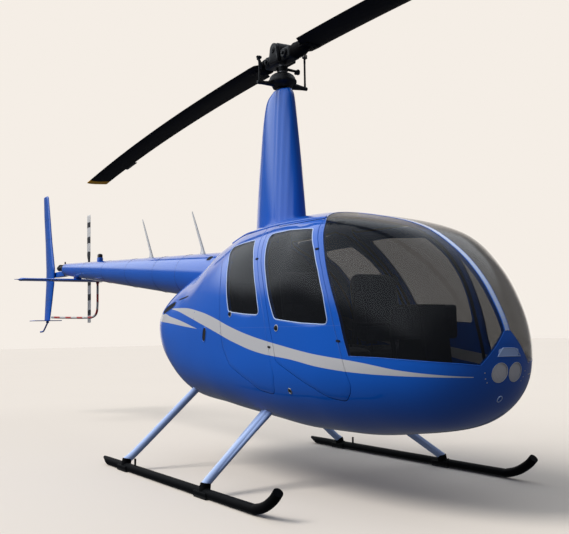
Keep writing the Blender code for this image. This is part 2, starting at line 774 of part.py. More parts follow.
FAIRING_WALL = 0.005
fairing = part("mast_fairing", loft("mast_fairing", [fairing_ring(*row) for row in FAIRING]), "blue paint")
bore_rows = [(FAIRING[0][0] - 0.1, *FAIRING[0][1:]), *FAIRING[1:-1], (FAIRING[-1][0] + 0.1, *FAIRING[-1][1:])]
bore = loft("fairing_bore", [fairing_ring(*row, grow=-FAIRING_WALL) for row in bore_rows])
cut(fairing, tool("fairing_bore", bore))
cut(fairing, tool("roof_relief", hull("roof_relief", -FIT)))
mast_hole = tool("mast_hole", rod("mast_hole", (0, 0, 1.5), (0, 0, 2.4), MAST_TUBE_RADIUS + FIT, sides=20))
cut(cabin, mast_hole)

mast_tube = joined("mast_tube", [
    rod("mast_tube", (0, 0, 1.60), (0, 0, 2.93), MAST_TUBE_RADIUS, sides=20),
    rod("foot", (0, 0, 1.60), (0, 0, 1.63), 0.068, sides=20),
    rod("plate", (0, 0, 2.915), (0, 0, 2.9495), 0.054, sides=20),
])
mast_tube = part("mast_tube", mast_tube, "black metal")
mast_bore = rod("mast_bore", (0, 0, 1.50), (0, 0, 3.0), SHAFT_RADIUS + 0.0008, sides=20)
cut(mast_tube, tool("mast_bore", mast_bore))

# Main rotor
rotor_axis = empty("main_rotor_axis", (0, 0, HUB_HEIGHT), FRAME)
rotor_axis.rotation_euler.z = ROTOR_TURN
shaft = rod("rotor_shaft", (0, 0, 1.66), (0, 0, HUB_HEIGHT - 0.0507), SHAFT_RADIUS, sides=20)
part("rotor_shaft", shaft, "black metal", rotor_axis)
PLATE_PROFILE = (
    (0.0303, 2.957), (0.105, 2.957), (0.112, 2.975), (0.105, 3.005), (0.09, 3.035), (0.055, 3.07),
    (0.0303, 3.085),
)
plate = turned("plate", (*PLATE_PROFILE, PLATE_PROFILE[0]), (0, 0, 0), 20)
arm_end = LINK_SPREAD + 0.012
arms = rod("arms", (0, -arm_end, LINK_LOW), (0, arm_end, LINK_LOW), 0.013, sides=8)
swash = part("swashplate", joined("swashplate", [plate, arms]), "black metal", rotor_axis)
swash_bore = rod("swash_bore", (0, 0, 2.9), (0, 0, 3.2), SHAFT_RADIUS + FIT, sides=20)
cut(swash, tool("swash_bore", swash_bore, rotor_axis))

hub_top = HUB_HEIGHT + TEETER_RISE
teeter_turn = Matrix.Translation((0, 0, HUB_HEIGHT)) @ Matrix.Rotation(ROTOR_TEETER, 4, "Y")
teeter_turn = teeter_turn @ Matrix.Translation((0, 0, -HUB_HEIGHT))
hub = joined("rotor_hub", [
    block("hub", (-HUB_LENGTH / 2, -0.055, HUB_HEIGHT - 0.05),
          (HUB_LENGTH / 2, 0.055, HUB_HEIGHT + 0.05), 0.012),
    rod("teeter", (0, -0.085, hub_top), (0, 0.085, hub_top), TEETER_RADIUS, sides=20),
])
hub.transform(teeter_turn)
part("rotor_hub", hub, "black metal", rotor_axis)
for n, side in enumerate((-1, 1)):
    low, high = LINK_LOW + 0.0135, LINK_HIGH[side] - 0.0128
    link = rod("link", (0, side * LINK_SPREAD, low), (0, side * LINK_SPREAD, high), 0.009, sides=8)
    part(f"pitch_link_{n + 1}", link, "black metal", rotor_axis)


def blade_section(r, lead, trail, thick, half=7):
    """An aerofoil across the blade at radius r, its nose at lead and its tail at trail."""
    height = HUB_HEIGHT - BLADE_DROOP * (r / ROTOR_RADIUS) ** 2
    points = []
    for k in range(2 * half):
        a = math.pi * k / half
        c = 0.5 * (1 + math.cos(a))
        t = 0.2969 * math.sqrt(c) - 0.126 * c - 0.3516 * c ** 2 + 0.2843 * c ** 3 - 0.1036 * c ** 4
        t = 5 * thick * t
        z = 0 if k in (0, half) else math.copysign(t, math.pi - a)
        points.append((r, lead + c * (trail - lead), height + z))
    return points


def main_blade(name, turn, link_height):
    """A blade with its grip and pitch horn, along +X with its nose to port, then turned half round or not."""
    full = BLADE_LEAD - BLADE_CHORD
    rows = [blade_section(BLADE_ROOT, BLADE_LEAD * 0.8, -0.030, BLADE_THICK * 1.1),
            blade_section(0.38, BLADE_LEAD, -0.060, BLADE_THICK * 1.1)]
    for r in (0.47, 1.2, 2.4, 3.6, 4.3, ROTOR_RADIUS):
        rows.append(blade_section(r, BLADE_LEAD, full, BLADE_THICK))
    blade = loft(name, rows)
    start = (HUB_LENGTH / 2 + FIT, 0, HUB_HEIGHT)
    grip = rod(name, start, (0.40, 0, HUB_HEIGHT - 0.0015), 0.060, 0.024, sides=16)
    for mesh in (blade, grip):
        mesh.transform(Matrix.Rotation(turn, 4, "Z"))
        mesh.transform(teeter_turn)
    side = 1 if turn == 0 else -1
    horn_foot = (side * 0.27, side * 0.04, HUB_HEIGHT - 0.004)
    horn = rod(name, horn_foot, (0, side * LINK_SPREAD, link_height), 0.011, sides=8)
    knob_in, knob_out = side * (LINK_SPREAD - 0.016), side * (LINK_SPREAD + 0.016)
    knob = rod(name, (0, knob_in, link_height), (0, knob_out, link_height), 0.0115, sides=8)
    return joined(name, [blade, grip, horn, knob])


part("main_blade_fore", main_blade("main_blade_fore", 0, LINK_HIGH[1]), "blade black", rotor_axis)
part("main_blade_aft", main_blade("main_blade_aft", math.pi, LINK_HIGH[-1]), "blade black", rotor_axis)

# Tail: gearbox, fin, stabiliser, guard
FIN_SEAT = -0.043
FLANGE = (BOOM_END - FIT, BOOM_END - 0.025)
QUILL_Z = 1.932
BRACKET_TOP = 1.885
gearbox = joined("tail_gearbox", [
    rod("flange", (FLANGE[0], 0, boom_centre(FLANGE[0])), (FLANGE[1], 0, boom_centre(FLANGE[1])),
        0.0795, sides=24),
    rod("collar", (FLANGE[1] + 0.012, 0, QUILL_Z), (-5.43, 0, QUILL_Z), 0.040, sides=20),
    rod("quill", (-5.42, 0, QUILL_Z), (-5.66, 0, QUILL_Z), 0.029, sides=20),
    block("foot", (-5.43, -0.030, BRACKET_TOP + FIT), (FLANGE[1] + 0.005, 0.030, 1.92), 0.003),
    rod("filler", (-5.425, 0, QUILL_Z), (-5.425, 0, 2.006), 0.010, sides=12),
    rod("output", (TAIL_ROTOR.x, -0.012, TAIL_ROTOR.z), (TAIL_ROTOR.x, 0.245, TAIL_ROTOR.z),
        0.042, 0.032, sides=20),
])
part("tail_gearbox", gearbox, "black metal")
bracket = block("fin_bracket", (-5.98, FIN_SEAT, 1.815), (BOOM_END - 0.0325, 0.045, BRACKET_TOP), 0.005)
part("fin_bracket", bracket, "blue paint")

# Fin levels: height, leading edge, trailing edge, thickness
FIN = (
    (1.247, -5.880, -6.130, 0.030), (1.50, -5.785, -6.095, 0.038), (1.74, -5.705, -6.058, 0.044),
    (1.93, -5.680, -6.055, 0.048), (2.31, -5.805, -6.100, 0.040), (2.70, -5.900, -6.165, 0.032),
    (2.935, -5.965, -6.185, 0.024), (2.958, -5.995, -6.180, 0.016),
)
FIN_Y = -0.062


def fin_ring(height, lead, trail, thick, half=6):
    ring = []
    for k in range(2 * half):
        a = math.pi * k / half
        c = 0.5 * (1 - math.cos(a))
        t = 0.5 * thick * math.sin(a) * (1.25 - 0.5 * c)
        ring.append((lead + (trail - lead) * c, FIN_Y + t, height))
    return ring


fin = part("vertical_fin", loft("vertical_fin", [fin_ring(*row) for row in FIN]), "blue paint")
end_plate = block("fin_end_plate", (-6.135, -0.266, 1.2367), (-5.875, 0.103, 1.2467), 0.003)
part("fin_end_plate", end_plate, "blue paint")
skid_path = [(-5.985, FIN_Y, 1.226), (-6.057, FIN_Y, 1.172), (-6.126, FIN_Y, 1.128), (-6.195, FIN_Y, 1.097),
             (TAIL_SKID_END, FIN_Y, 1.092)]
part("tail_skid", joined("tail_skid", [
    tube("tail_skid", skid_path, 0.011, sides=8),
    rod("socket", (-5.985, FIN_Y, 1.21), (-5.985, FIN_Y, 1.2364), 0.02, sides=12),
]), "black metal")

STAB_X = (-4.845, -5.105)
STAB_Z = 1.735
STAB_TIPS = (-0.70, 0.33)


def stab_ring(y, scale=1.0, half=6):
    ring = []
    middle = (STAB_X[0] + STAB_X[1]) / 2
    for k in range(2 * half):
        a = math.pi * k / half
        x = middle + (STAB_X[0] - STAB_X[1]) / 2 * math.cos(a) * scale
        z = STAB_Z + 0.018 * math.sin(a) * (1.1 + 0.3 * math.cos(a)) * scale
        ring.append((x, y, z))
    return ring


stabiliser = joined("stabiliser", [
    loft("stabiliser", [
        stab_ring(STAB_TIPS[0], 0.8), stab_ring(STAB_TIPS[0] + 0.03),
        stab_ring(STAB_TIPS[1] - 0.03), stab_ring(STAB_TIPS[1], 0.8),
    ]),
    block("saddle", (-5.03, -0.02, STAB_Z), (-4.93, 0.06, 1.80), 0.004),
    rod("tip", (-4.98, STAB_TIPS[0] + 0.01, STAB_Z), (-4.98, STAB_TIPS[0] - 0.075, STAB_Z),
        0.032, 0.012, sides=12),
])
stabiliser = part("stabiliser", stabiliser, "blue paint")
cut(stabiliser, tool("boom_relief", boom_solid("boom_relief", FIT)))

GUARD_RADIUS = 0.011
guard_path = [
    (-4.985, 0.285, STAB_Z - 0.0165), (-4.985, 0.285, 1.60), (-4.99, 0.285, 1.42), (-5.02, 0.282, 1.32),
    (-5.11, 0.262, 1.272), (-5.26, 0.215, 1.266), (-5.60, 0.075, 1.275), (-5.868, FIN_Y + 0.022, 1.285),
]
guard = part("tail_guard", tube("tail_guard", guard_path, GUARD_RADIUS, 8, 18), "red white stripe")
fin_rows = [fin_ring(height, lead + FIT, trail, thick + 2 * FIT) for height, lead, trail, thick in FIN]
cut(guard, tool("guard_relief_fin", loft("guard_relief_fin", fin_rows)))
stab_rows = [[(x, y, z - FIT) for x, y, z in stab_ring(station)] for station in (0.1, 0.32)]
cut(guard, tool("guard_relief_stab", loft("guard_relief_stab", stab_rows)))

# Fin carried by the bracket
fin_relief = block("fin_relief", (-6.30, FIN_SEAT - FIT, 1.8147), (-5.5, 0.05, BRACKET_TOP + FIT))
cut(fin, tool("fin_relief", fin_relief))

# Tail rotor
tail_axis = empty("tail_rotor_axis", TAIL_ROTOR, FRAME)
hub_low = TAIL_ROTOR + Vector((-0.04, -0.025, -0.075))
hub_high = TAIL_ROTOR + Vector((0.04, 0.025, 0.075))
tail_hub = joined("tail_rotor_hub", [
    rod("shaft", (TAIL_ROTOR.x, 0.2453, TAIL_ROTOR.z), TAIL_ROTOR + Vector((0, 0.055, 0)), 0.02, sides=16),
    block("hub", hub_low, hub_high, 0.006),
    rod("slider", TAIL_ROTOR - Vector((0, 0.09, 0)), TAIL_ROTOR - Vector((0, 0.065, 0)), 0.045, sides=16),
])
part("tail_rotor_hub", tail_hub, "black metal", tail_axis)


def tail_blade(name, side):
    rows = []
    for r, scale in ((0.0753, 0.42), (0.12, 0.7), (0.17, 1.0), (0.45, 1.0), (TAIL_ROTOR_RADIUS, 1.0)):
        chord = TAIL_CHORD * scale
        ring = []
        for k in range(12):
            a = math.pi * k / 6
            c = 0.5 * (1 - math.cos(a))
            t = 0.5 * (0.016 if r > 0.1 else 0.03) * math.sin(a) * (1.25 - 0.5 * c)
            ring.append((TAIL_ROTOR.x + side * chord * (0.4 - c), TAIL_ROTOR.y + t, TAIL_ROTOR.z + side * r))
        rows.append(ring)
    return loft(name, rows)


part("tail_blade_upper", tail_blade("tail_blade_upper", 1), "white black stripe", tail_axis)
part("tail_blade_lower", tail_blade("tail_blade_lower", -1), "white black stripe", tail_axis)

# Antennas and beacon on the boom
def antenna(name, base_front, base_rear, tip_front, tip_z):
    base_z = boom_centre(base_front) + boom_radius(base_front)
    rows = []
    for t, share in ((0, 1), (0.12, 0.45), (0.6, 0.36), (1, 0.28)):
        front = base_front + (tip_front - base_front) * t
        chord = (base_front - base_rear) * share
        height = base_z - 0.01 + (tip_z - base_z + 0.01) * t
        thick = 0.022 * (1 - 0.6 * t)
        ring = []
        for k in range(10):
            a = math.pi * k / 5
            c = 0.5 * (1 - math.cos(a))
            ring.append((front - chord * c, 0.5 * thick * math.sin(a), height))
        rows.append(ring)
    made = part(name, loft(name, rows), "light grey")
    cut(made, boom_relief_tool)
    return made


boom_relief_tool = tool("boom_outside", boom_solid("boom_outside", FIT))
antenna("antenna_fore", -1.369, -1.47, -1.62, 2.189)
antenna("antenna_aft", -2.549, -2.653, -2.81, 2.255)

BEACON_X = -4.11
beacon_z = boom_centre(BEACON_X) + boom_radius(BEACON_X)
BEACON_PROFILE = (
    (0, beacon_z + 0.090), (0.022, beacon_z + 0.088), (0.031, beacon_z + 0.078), (0.032, beacon_z + 0.045),
    (0.036, beacon_z + 0.042), (0.036, beacon_z - 0.012), (0, beacon_z - 0.012),
)
beacon = part("beacon", turned("beacon", BEACON_PROFILE, (BEACON_X, 0, 0), 20), "blue paint")
cut(beacon, boom_relief_tool)

# Skids and legs
def leg_fairing(side):
    """A streamlined sleeve on the slanting run of a front leg, round at the front and long behind."""
    low, high = Vector((0.5712, side * 0.92, 0.15)), Vector((0.456, side * 0.45, 0.495))
    run = (high - low).normalized()
    across = Vector((0, -run.z, run.y)).normalized()
    rows = []
    for t, width in ((0.02, 0.045), (0.06, 0.052), (0.86, 0.075)):
        middle = low.lerp(high, t)
        ring = []
        for k in range(10):
            a = math.pi * k / 5
            reach = 0.8 * math.cos(a) if math.cos(a) > 0 else 1.2 * math.cos(a)
            ring.append(middle + Vector((width * reach, 0, 0)) + across * 0.033 * math.sin(a))
        rows.append(ring)
    return loft("leg_fairing", rows)


front_mesh = tube("cross_tube_front", FRONT_LEG, LEG_RADIUS, 10, 20)
front_mesh = joined("cross_tube_front", [front_mesh, leg_fairing(-1), leg_fairing(1)])
part("cross_tube_front", front_mesh, "blue paint")
part("cross_tube_rear", tube("cross_tube_rear", REAR_LEG, LEG_RADIUS, 10, 20), "blue paint")
SKID_PATH = [(SKID_REAR, 0, SKID_HEIGHT), (1.16, 0, SKID_HEIGHT), (1.26, 0, SKID_HEIGHT + 0.006),
             (1.36, 0, SKID_HEIGHT + 0.036), (1.45, 0, SKID_HEIGHT + 0.088), (1.50, 0, SKID_HEIGHT + 0.135)]
for side_name, side in SIDES:
    path = [(x, side * SKID_TRACK, z) for x, y, z in SKID_PATH]
    runs = [tube("skid", path, SKID_RADIUS, sides=12)]
    for foot in (FRONT_LEG[0][0], REAR_LEG[0][0]):
        y = side * SKID_TRACK
        runs.append(block("shoe", (foot - 0.09, y - 0.04, 0.0), (foot + 0.09, y + 0.04, 0.045), 0.008))
        runs.append(rod("socket", (foot, y, 0.03), (foot, y - side * 0.018, 0.11), 0.042, sides=14))
    skid = part(f"skid_{side_name}", joined("skid", runs), "black metal")
    cut(skid, tool(f"front_socket_{side_name}", front_leg_hole.data.copy()))
    cut(skid, tool(f"rear_socket_{side_name}", rear_leg_hole.data.copy()))

# Cabin contents
ENGINE_FRONT = -0.26
mounts = []
for y in (-0.25, 0.25):
    mounts.append(rod("mount", (ENGINE_FRONT - 0.03, y, 0.90), (0.0139, y, 0.90), 0.018, sides=10))
engine = block("engine_block", (ENGINE_FRONT - 0.72, -0.40, 0.72), (ENGINE_FRONT, 0.40, 1.16), 0.01)
part("engine_block", joined("engine_block", [engine, *mounts]), "engine metal")

# Column between the rear seats that carries the mast
column = [
    (0.098, FLOOR_TOP + FIT), (0.098, 1.5997), (-0.10, 1.5997), (-0.10, 1.30), (0.014, 1.045), (0.073, 0.82),
    (0.073, FLOOR_TOP + FIT),
]
part("mast_column", prism("mast_column", column, -0.07, 0.07), "trim grey")

SEAT_TOP = 0.90
BASE_TOP = SEAT_TOP - 0.05
rear_base = block("rear_seat_base", (0.10, -0.47, FLOOR_TOP + FIT), (0.50, 0.47, BASE_TOP), 0.01)
part("rear_seat_base", rear_base, "trim grey")
# Seat rows: front edge, lengths of the cushion, its back's foot and head, and its outer side
SEATS = (
    ("front", 1.25, 0.40, 0.50, 0.60, 0.53, 1.48, 0.515),
    ("rear", 0.53, 0.36, 0.52, 0.61, 0.445, 1.44, 0.49),
)
for side_name, side in SIDES:
    y0, y1 = sorted((side * 0.07, side * 0.46))
    base = block("front_seat_base", (0.78, y0, FLOOR_TOP + FIT), (1.22, y1, BASE_TOP), 0.01)
    part(f"front_seat_base_{side_name}", base, "trim grey")
    for row, front, pad, head, back, foot, top, outer in SEATS:
        outline = [
            (front, BASE_TOP + FIT), (front, SEAT_TOP + 0.04), (front - pad, SEAT_TOP + 0.05),
            (front - head, top), (front - back, top), (front - foot, BASE_TOP + FIT),
        ]
        seat = prism("seat", outline, *sorted((side * 0.075, side * outer)))
        part(f"{row}_seat_{side_name}", seat, "grey cloth")

pedestal = [
    (1.40, FLOOR_TOP + FIT), (1.46, 0.98), (1.52, 1.20), (1.66, 1.20), (1.70, 0.95), (1.74, FLOOR_TOP + FIT),
]
part("console", joined("console", [
    prism("pedestal", pedestal, -0.10, 0.10),
    block("panel", (1.50, -0.21, 0.99), (1.66, 0.21, 1.20), 0.02),
]), "black metal")

part("cyclic_stick", joined("cyclic_stick", [
    rod("stick", (1.33, 0, FLOOR_TOP + 0.0026), (1.26, 0, 1.088), 0.016, sides=8),
    rod("bar", (1.26, -0.295, 1.085), (1.26, 0.295, 1.085), 0.012, sides=8),
    rod("grip", (1.262, -0.29, 1.10), (1.25, -0.29, 0.97), 0.016, sides=8),
    rod("grip", (1.262, 0.29, 1.10), (1.25, 0.29, 0.97), 0.016, sides=8),
]), "black metal")
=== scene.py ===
"""Looks of a light four-seat helicopter that stands on its skids.

Places are given from the foot of the rotor mast: x towards the nose, y to port,
z up, in metres. Each piece is moved along x by MAST_X as it is placed, so that it
lies where the solid model has it.
"""
import math

import bpy
import numpy as np
from mathutils import Matrix, Vector


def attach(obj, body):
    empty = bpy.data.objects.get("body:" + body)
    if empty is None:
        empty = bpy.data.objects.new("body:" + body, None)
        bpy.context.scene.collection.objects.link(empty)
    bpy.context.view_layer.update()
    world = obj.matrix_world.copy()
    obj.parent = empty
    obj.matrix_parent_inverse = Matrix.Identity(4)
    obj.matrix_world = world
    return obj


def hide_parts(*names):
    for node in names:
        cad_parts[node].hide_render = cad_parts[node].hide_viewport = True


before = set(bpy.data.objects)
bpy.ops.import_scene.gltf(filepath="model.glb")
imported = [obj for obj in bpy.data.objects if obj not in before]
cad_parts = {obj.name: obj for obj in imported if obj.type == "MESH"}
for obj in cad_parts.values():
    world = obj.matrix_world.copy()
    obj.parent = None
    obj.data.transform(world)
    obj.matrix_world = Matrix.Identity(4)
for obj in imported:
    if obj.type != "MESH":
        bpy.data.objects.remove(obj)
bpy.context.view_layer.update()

bl_info = {
    "name": "Light helicopter looks",
    "version": (1, 0, 0),
    "blender": (4, 5, 0),
    "location": "3D View > Sidebar > Helicopter",
    "description": "Surfaces, finishes, light and camera for a light four-seat helicopter",
    "category": "Object",
}

MAST_X = 0.6406
BODY = "airframe"
PLACE = Matrix.Translation((MAST_X, 0, 0))

# Hull

STATIONS = np.array((
    (2.270, 0.95, 0.95, 0.950, 0.000, 2.0, 2.0),
    (2.200, 0.68, 0.92, 1.165, 0.246, 2.2, 1.9),
    (2.100, 0.57, 0.91, 1.320, 0.362, 2.3, 2.25),
    (1.900, 0.47, 0.90, 1.515, 0.478, 2.35, 2.95),
    (1.600, 0.42, 0.90, 1.690, 0.572, 2.4, 3.7),
    (1.200, 0.383, 0.89, 1.800, 0.630, 2.4, 3.6),
    (0.800, 0.382, 0.885, 1.868, 0.643, 2.5, 2.8),
    (0.400, 0.410, 0.88, 1.884, 0.641, 2.5, 2.6),
    (0.000, 0.440, 0.88, 1.876, 0.629, 2.5, 2.4),
    (-0.400, 0.469, 0.92, 1.815, 0.607, 2.45, 2.15),
    (-0.800, 0.490, 0.98, 1.670, 0.576, 2.4, 1.95),
    (-1.150, 0.610, 1.058, 1.524, 0.533, 2.15, 2.05),
    (-1.400, 0.816, 1.125, 1.344, 0.417, 2.0, 2.35),
    (-1.550, 1.10, 1.10, 1.100, 0.000, 2.0, 2.0),
))
NOSE_X, TAIL_X = STATIONS[0, 0], STATIONS[-1, 0]
HULL_MIDDLE, HULL_HALF = (NOSE_X + TAIL_X) / 2, (NOSE_X - TAIL_X) / 2
HULL_HEART = np.array((0.5, 0.0, 0.95))


def lengthwise(x):
    """The angle along the hull, 0 at the nose and pi at the tail: arccos of the place between them."""
    return np.arccos(np.clip((np.asarray(x, float) - HULL_MIDDLE) / HULL_HALF, -1, 1))


def monotone(xs, ys, x):
    """Piecewise cubic through the points with harmonic-mean slopes, so that it has no overshoot."""
    step = np.diff(xs)
    slope = np.diff(ys) / step
    tangent = np.zeros_like(ys)
    one, two = 2 * step[1:] + step[:-1], step[1:] + 2 * step[:-1]
    same = slope[:-1] * slope[1:] > 0
    a, b = np.where(same, slope[:-1], 1), np.where(same, slope[1:], 1)
    tangent[1:-1] = np.where(same, (one + two) / (one / a + two / b), 0)
    for end, (h0, h1, d0, d1) in ((0, (step[0], step[1], slope[0], slope[1])),
                                  (-1, (step[-1], step[-2], slope[-1], slope[-2]))):
        d = ((2 * h0 + h1) * d0 - h0 * d1) / (h0 + h1)
        if d * d0 <= 0:
            d = 0.0
        elif d0 * d1 <= 0 and abs(d) > 3 * abs(d0):
            d = 3 * d0
        tangent[end] = d
    k = np.clip(np.searchsorted(xs, x) - 1, 0, len(step) - 1)
    t, h = (x - xs[k]) / step[k], step[k]
    return ((1 + 2 * t) * (1 - t) ** 2 * ys[k] + t * (1 - t) ** 2 * h * tangent[k]
            + t * t * (3 - 2 * t) * ys[k + 1] + t * t * (t - 1) * h * tangent[k + 1])


ANGLES = np.linspace(0, np.pi, 2001)
TABLE = [monotone(lengthwise(STATIONS[:, 0]), STATIONS[:, k], ANGLES) for k in range(1, 7)]


def section(x):
    """Bottom, widest height, top, half width and the two exponents of the section at x."""
    angle = lengthwise(x)
    return [np.interp(angle, ANGLES, row) for row in TABLE]


def skin_y(x, z):
    """Half width of the outer skin where the side view shows (x, z): superellipse half width."""
    bottom, wide, top, half, low_n, high_n = section(x)
    up = z >= wide
    n = np.where(up, high_n, low_n)
    rise = np.abs(z - wide) / np.maximum(np.where(up, top - wide, wide - bottom), 1e-6)
    return half * np.maximum(0, 1 - np.minimum(rise, 1) ** n) ** (1 / n)


def skin_level(p):
    """Below 1 inside the hull, 1 on its skin, above 1 outside: the section's superellipse value."""
    x, y, z = p[..., 0], p[..., 1], p[..., 2]
    bottom, wide, top, half, low_n, high_n = section(x)
    up = z >= wide
    n = np.where(up, high_n, low_n)
    rise = np.maximum(np.where(up, top - wide, wide - bottom), 1e-5)
    value = ((np.abs(y) / np.maximum(half, 1e-5)) ** n + (np.abs(z - wide) / rise) ** n) ** (1 / n)
    return np.where((x > NOSE_X) | (x < TAIL_X), 9.0, value)


def skin_normal(p):
    """Unit normal of the skin near p: the slope of skin_level by central differences."""
    q = np.array(p, float)
    q[..., 0] = np.clip(q[..., 0], TAIL_X + 4e-4, NOSE_X - 4e-4)
    slope = np.stack([skin_level(q + e) - skin_level(q - e) for e in np.eye(3) * 2e-4], -1)
    return slope / np.maximum(np.linalg.norm(slope, axis=-1, keepdims=True), 1e-9)


def onto_skin(p, depth=0.0):
    """The points moved along rays from the hull's heart to its skin, by halving, then in by depth."""
    ray = np.asarray(p, float) - HULL_HEART
    ray /= np.linalg.norm(ray, axis=-1, keepdims=True)
    low, high = np.full(ray.shape[:-1], 0.05), np.full(ray.shape[:-1], 2.6)
    for _ in range(40):
        middle = (low + high) / 2
        inside = skin_level(HULL_HEART + ray * middle[..., None]) < 1
        low, high = np.where(inside, middle, low), np.where(inside, high, middle)
    made = HULL_HEART + ray * low[..., None]
    return made - skin_normal(made) * depth if np.any(depth) else made


def on_side(xz, side, depth=0.0):
    """Points of the side view laid on the skin of one side, and set in by depth along its normal."""
    xz = np.asarray(xz, float)
    p = np.stack([xz[..., 0], side * skin_y(xz[..., 0], xz[..., 1]), xz[..., 1]], -1)
    return p - skin_normal(p) * np.asarray(depth, float)[..., None]


def hull_grid(depth, lengths, count):
    """The whole skin on a grid: superellipse sections from nose to tail, poles at both ends."""
    along = np.linspace(0, np.pi, lengths + 1)[:, None]
    around = (np.arange(count) * 2 * np.pi / count)[None, :]
    x = HULL_MIDDLE + HULL_HALF * np.cos(along) + 0 * around
    bottom, wide, top, half, low_n, high_n = section(x)
    c, s = np.cos(around), np.sin(around)
    n = np.where(s >= 0, high_n, low_n)
    y = half * np.sign(c) * np.abs(c) ** (2 / n)
    z = wide + np.where(s >= 0, top - wide, wide - bottom) * np.sign(s) * np.abs(s) ** (2 / n)
    p = np.stack([x, y, z], -1)
    if depth:
        p = p - skin_normal(p) * depth
        p[0] = (NOSE_X - depth, 0, STATIONS[0, 1])
        p[-1] = (TAIL_X + depth, 0, STATIONS[-1, 1])
    return p


# Outlines in the side view: x, z, corner radius

FRONT_DOOR = (
    (1.100, 1.765, 0.03), (1.250, 1.570, 0.2), (1.335, 1.420, 0.2), (1.400, 1.267, 0.2),
    (1.452, 1.097, 0.2), (1.500, 0.950, 0.2), (1.565, 0.720, 0.05), (1.490, 0.645, 0.05),
    (1.370, 0.662, 0.1), (1.177, 0.738, 0.2), (0.880, 0.865, 0.03), (0.850, 0.980, 0.1),
    (0.800, 1.120, 0.2), (0.745, 1.258, 0.2), (0.672, 1.394, 0.2), (0.580, 1.537, 0.2),
    (0.440, 1.780, 0.03),
)
FRONT_WINDOW = (
    (1.097, 1.703, 0.03), (1.230, 1.546, 0.2), (1.307, 1.416, 0.2), (1.370, 1.267, 0.2),
    (1.418, 1.085, 0.03), (1.152, 1.100, 0.2), (0.860, 1.130, 0.05), (0.780, 1.258, 0.2),
    (0.708, 1.394, 0.2), (0.616, 1.537, 0.2), (0.500, 1.730, 0.03), (0.760, 1.732, 0.2),
)
REAR_DOOR = (
    (0.330, 1.785, 0.03), (0.475, 1.580, 0.2), (0.555, 1.472, 0.2), (0.640, 1.334, 0.2),
    (0.715, 1.165, 0.2), (0.765, 1.000, 0.2), (0.835, 0.760, 0.05), (0.790, 0.650, 0.05),
    (0.623, 0.670, 0.1), (0.477, 0.730, 0.2), (0.257, 0.818, 0.06), (0.150, 0.940, 0.08),
    (0.110, 1.070, 0.2), (0.050, 1.288, 0.2), (-0.034, 1.476, 0.2), (-0.157, 1.639, 0.2),
    (-0.270, 1.755, 0.03),
)
REAR_WINDOW = (
    (0.303, 1.708, 0.03), (0.423, 1.580, 0.2), (0.503, 1.472, 0.2), (0.590, 1.334, 0.2),
    (0.668, 1.160, 0.03), (0.443, 1.173, 0.2), (0.215, 1.195, 0.04), (0.170, 1.279, 0.2),
    (0.091, 1.432, 0.2), (0.005, 1.571, 0.2), (-0.115, 1.690, 0.04), (0.091, 1.705, 0.2),
)
SHIELD_REAR = (
    (0.966, 1.845), (1.158, 1.738), (1.248, 1.641), (1.318, 1.539), (1.381, 1.414), (1.448, 1.263),
    (1.502, 1.127), (1.534, 1.011), (1.572, 0.900),
)
SHIELD_FOOT = ((1.572, 0.900), (1.791, 0.893), (2.016, 0.877), (2.174, 0.862))
COWL_SEAM = ((-0.520, 2.00, 0.0), (-0.400, 1.72, 0.1), (-0.060, 1.05, 0.1), (0.015, 0.80, 0.1),
             (-0.030, 0.60, 0.1), (-0.030, 0.30, 0.0))
GUTTER = ((-0.315, 1.750), (-0.157, 1.797), (0.137, 1.800), (0.410, 1.806), (0.629, 1.803), (0.871, 1.796),
          (1.085, 1.780))
LAMP_HALF, LAMP_Z, LAMP_HOLE, LAMP_RIM = 0.059, 0.808, 0.0513, 0.0525
NOSE_PEAK, NOSE_FOOT, NOSE_FOOT_HALF, BOW_HALF = 1.038, 0.849, 0.181, 0.018
DOOR_GAP = 0.008
WALL = 0.028
COWL_WALL = 0.02
GLASS = 0.006

STRIPE_TOP = ((-1.06, 1.2535), (-1.03, 1.2535), (-0.661, 1.249), (-0.303, 1.21), (-0.099, 1.174),
              (0.257, 1.088),
              (0.55, 1.025), (0.935, 0.962), (1.25, 0.915), (1.661, 0.866), (1.908, 0.824), (2.204, 0.79))
STRIPE_LOW = ((-1.06, 1.2535), (-1.03, 1.2525), (-0.896, 1.239), (-0.621, 1.193), (-0.272, 1.12),
              (0.012, 1.054),
              (0.337, 0.975), (0.682, 0.909), (1.042, 0.874), (1.341, 0.832), (1.651, 0.805), (2.204, 0.786))
FLASH_TOP = ((-1.36, 1.172), (-1.19, 1.217), (-0.95, 1.185), (-0.62, 1.135), (-0.322, 1.079))
FLASH_LOW = ((-1.36, 1.172), (-1.19, 1.150), (-0.95, 1.132), (-0.62, 1.103), (-0.322, 1.079))


def rounded(outline, steps=7):
    """The outline with its corners as parabola arcs, each trimmed by its radius."""
    made = []
    pts = [Vector(p[:2]) for p in outline]
    for k, here in enumerate(pts):
        radius = outline[k][2]
        before, after = pts[k - 1] - here, pts[(k + 1) % len(pts)] - here
        half = before.angle(after) / 2
        if radius <= 0 or abs(math.pi / 2 - half) < 0.01:
            made.append(here)
            continue
        trim = min(radius / math.tan(half), min(before.length, after.length) * 0.48)
        start, end = here + before.normalized() * trim, here + after.normalized() * trim
        for i in range(steps + 1):
            t = i / steps
            made.append(start * (1 - t) ** 2 + here * 2 * t * (1 - t) + end * t * t)
    return np.array([tuple(p) for p in made])


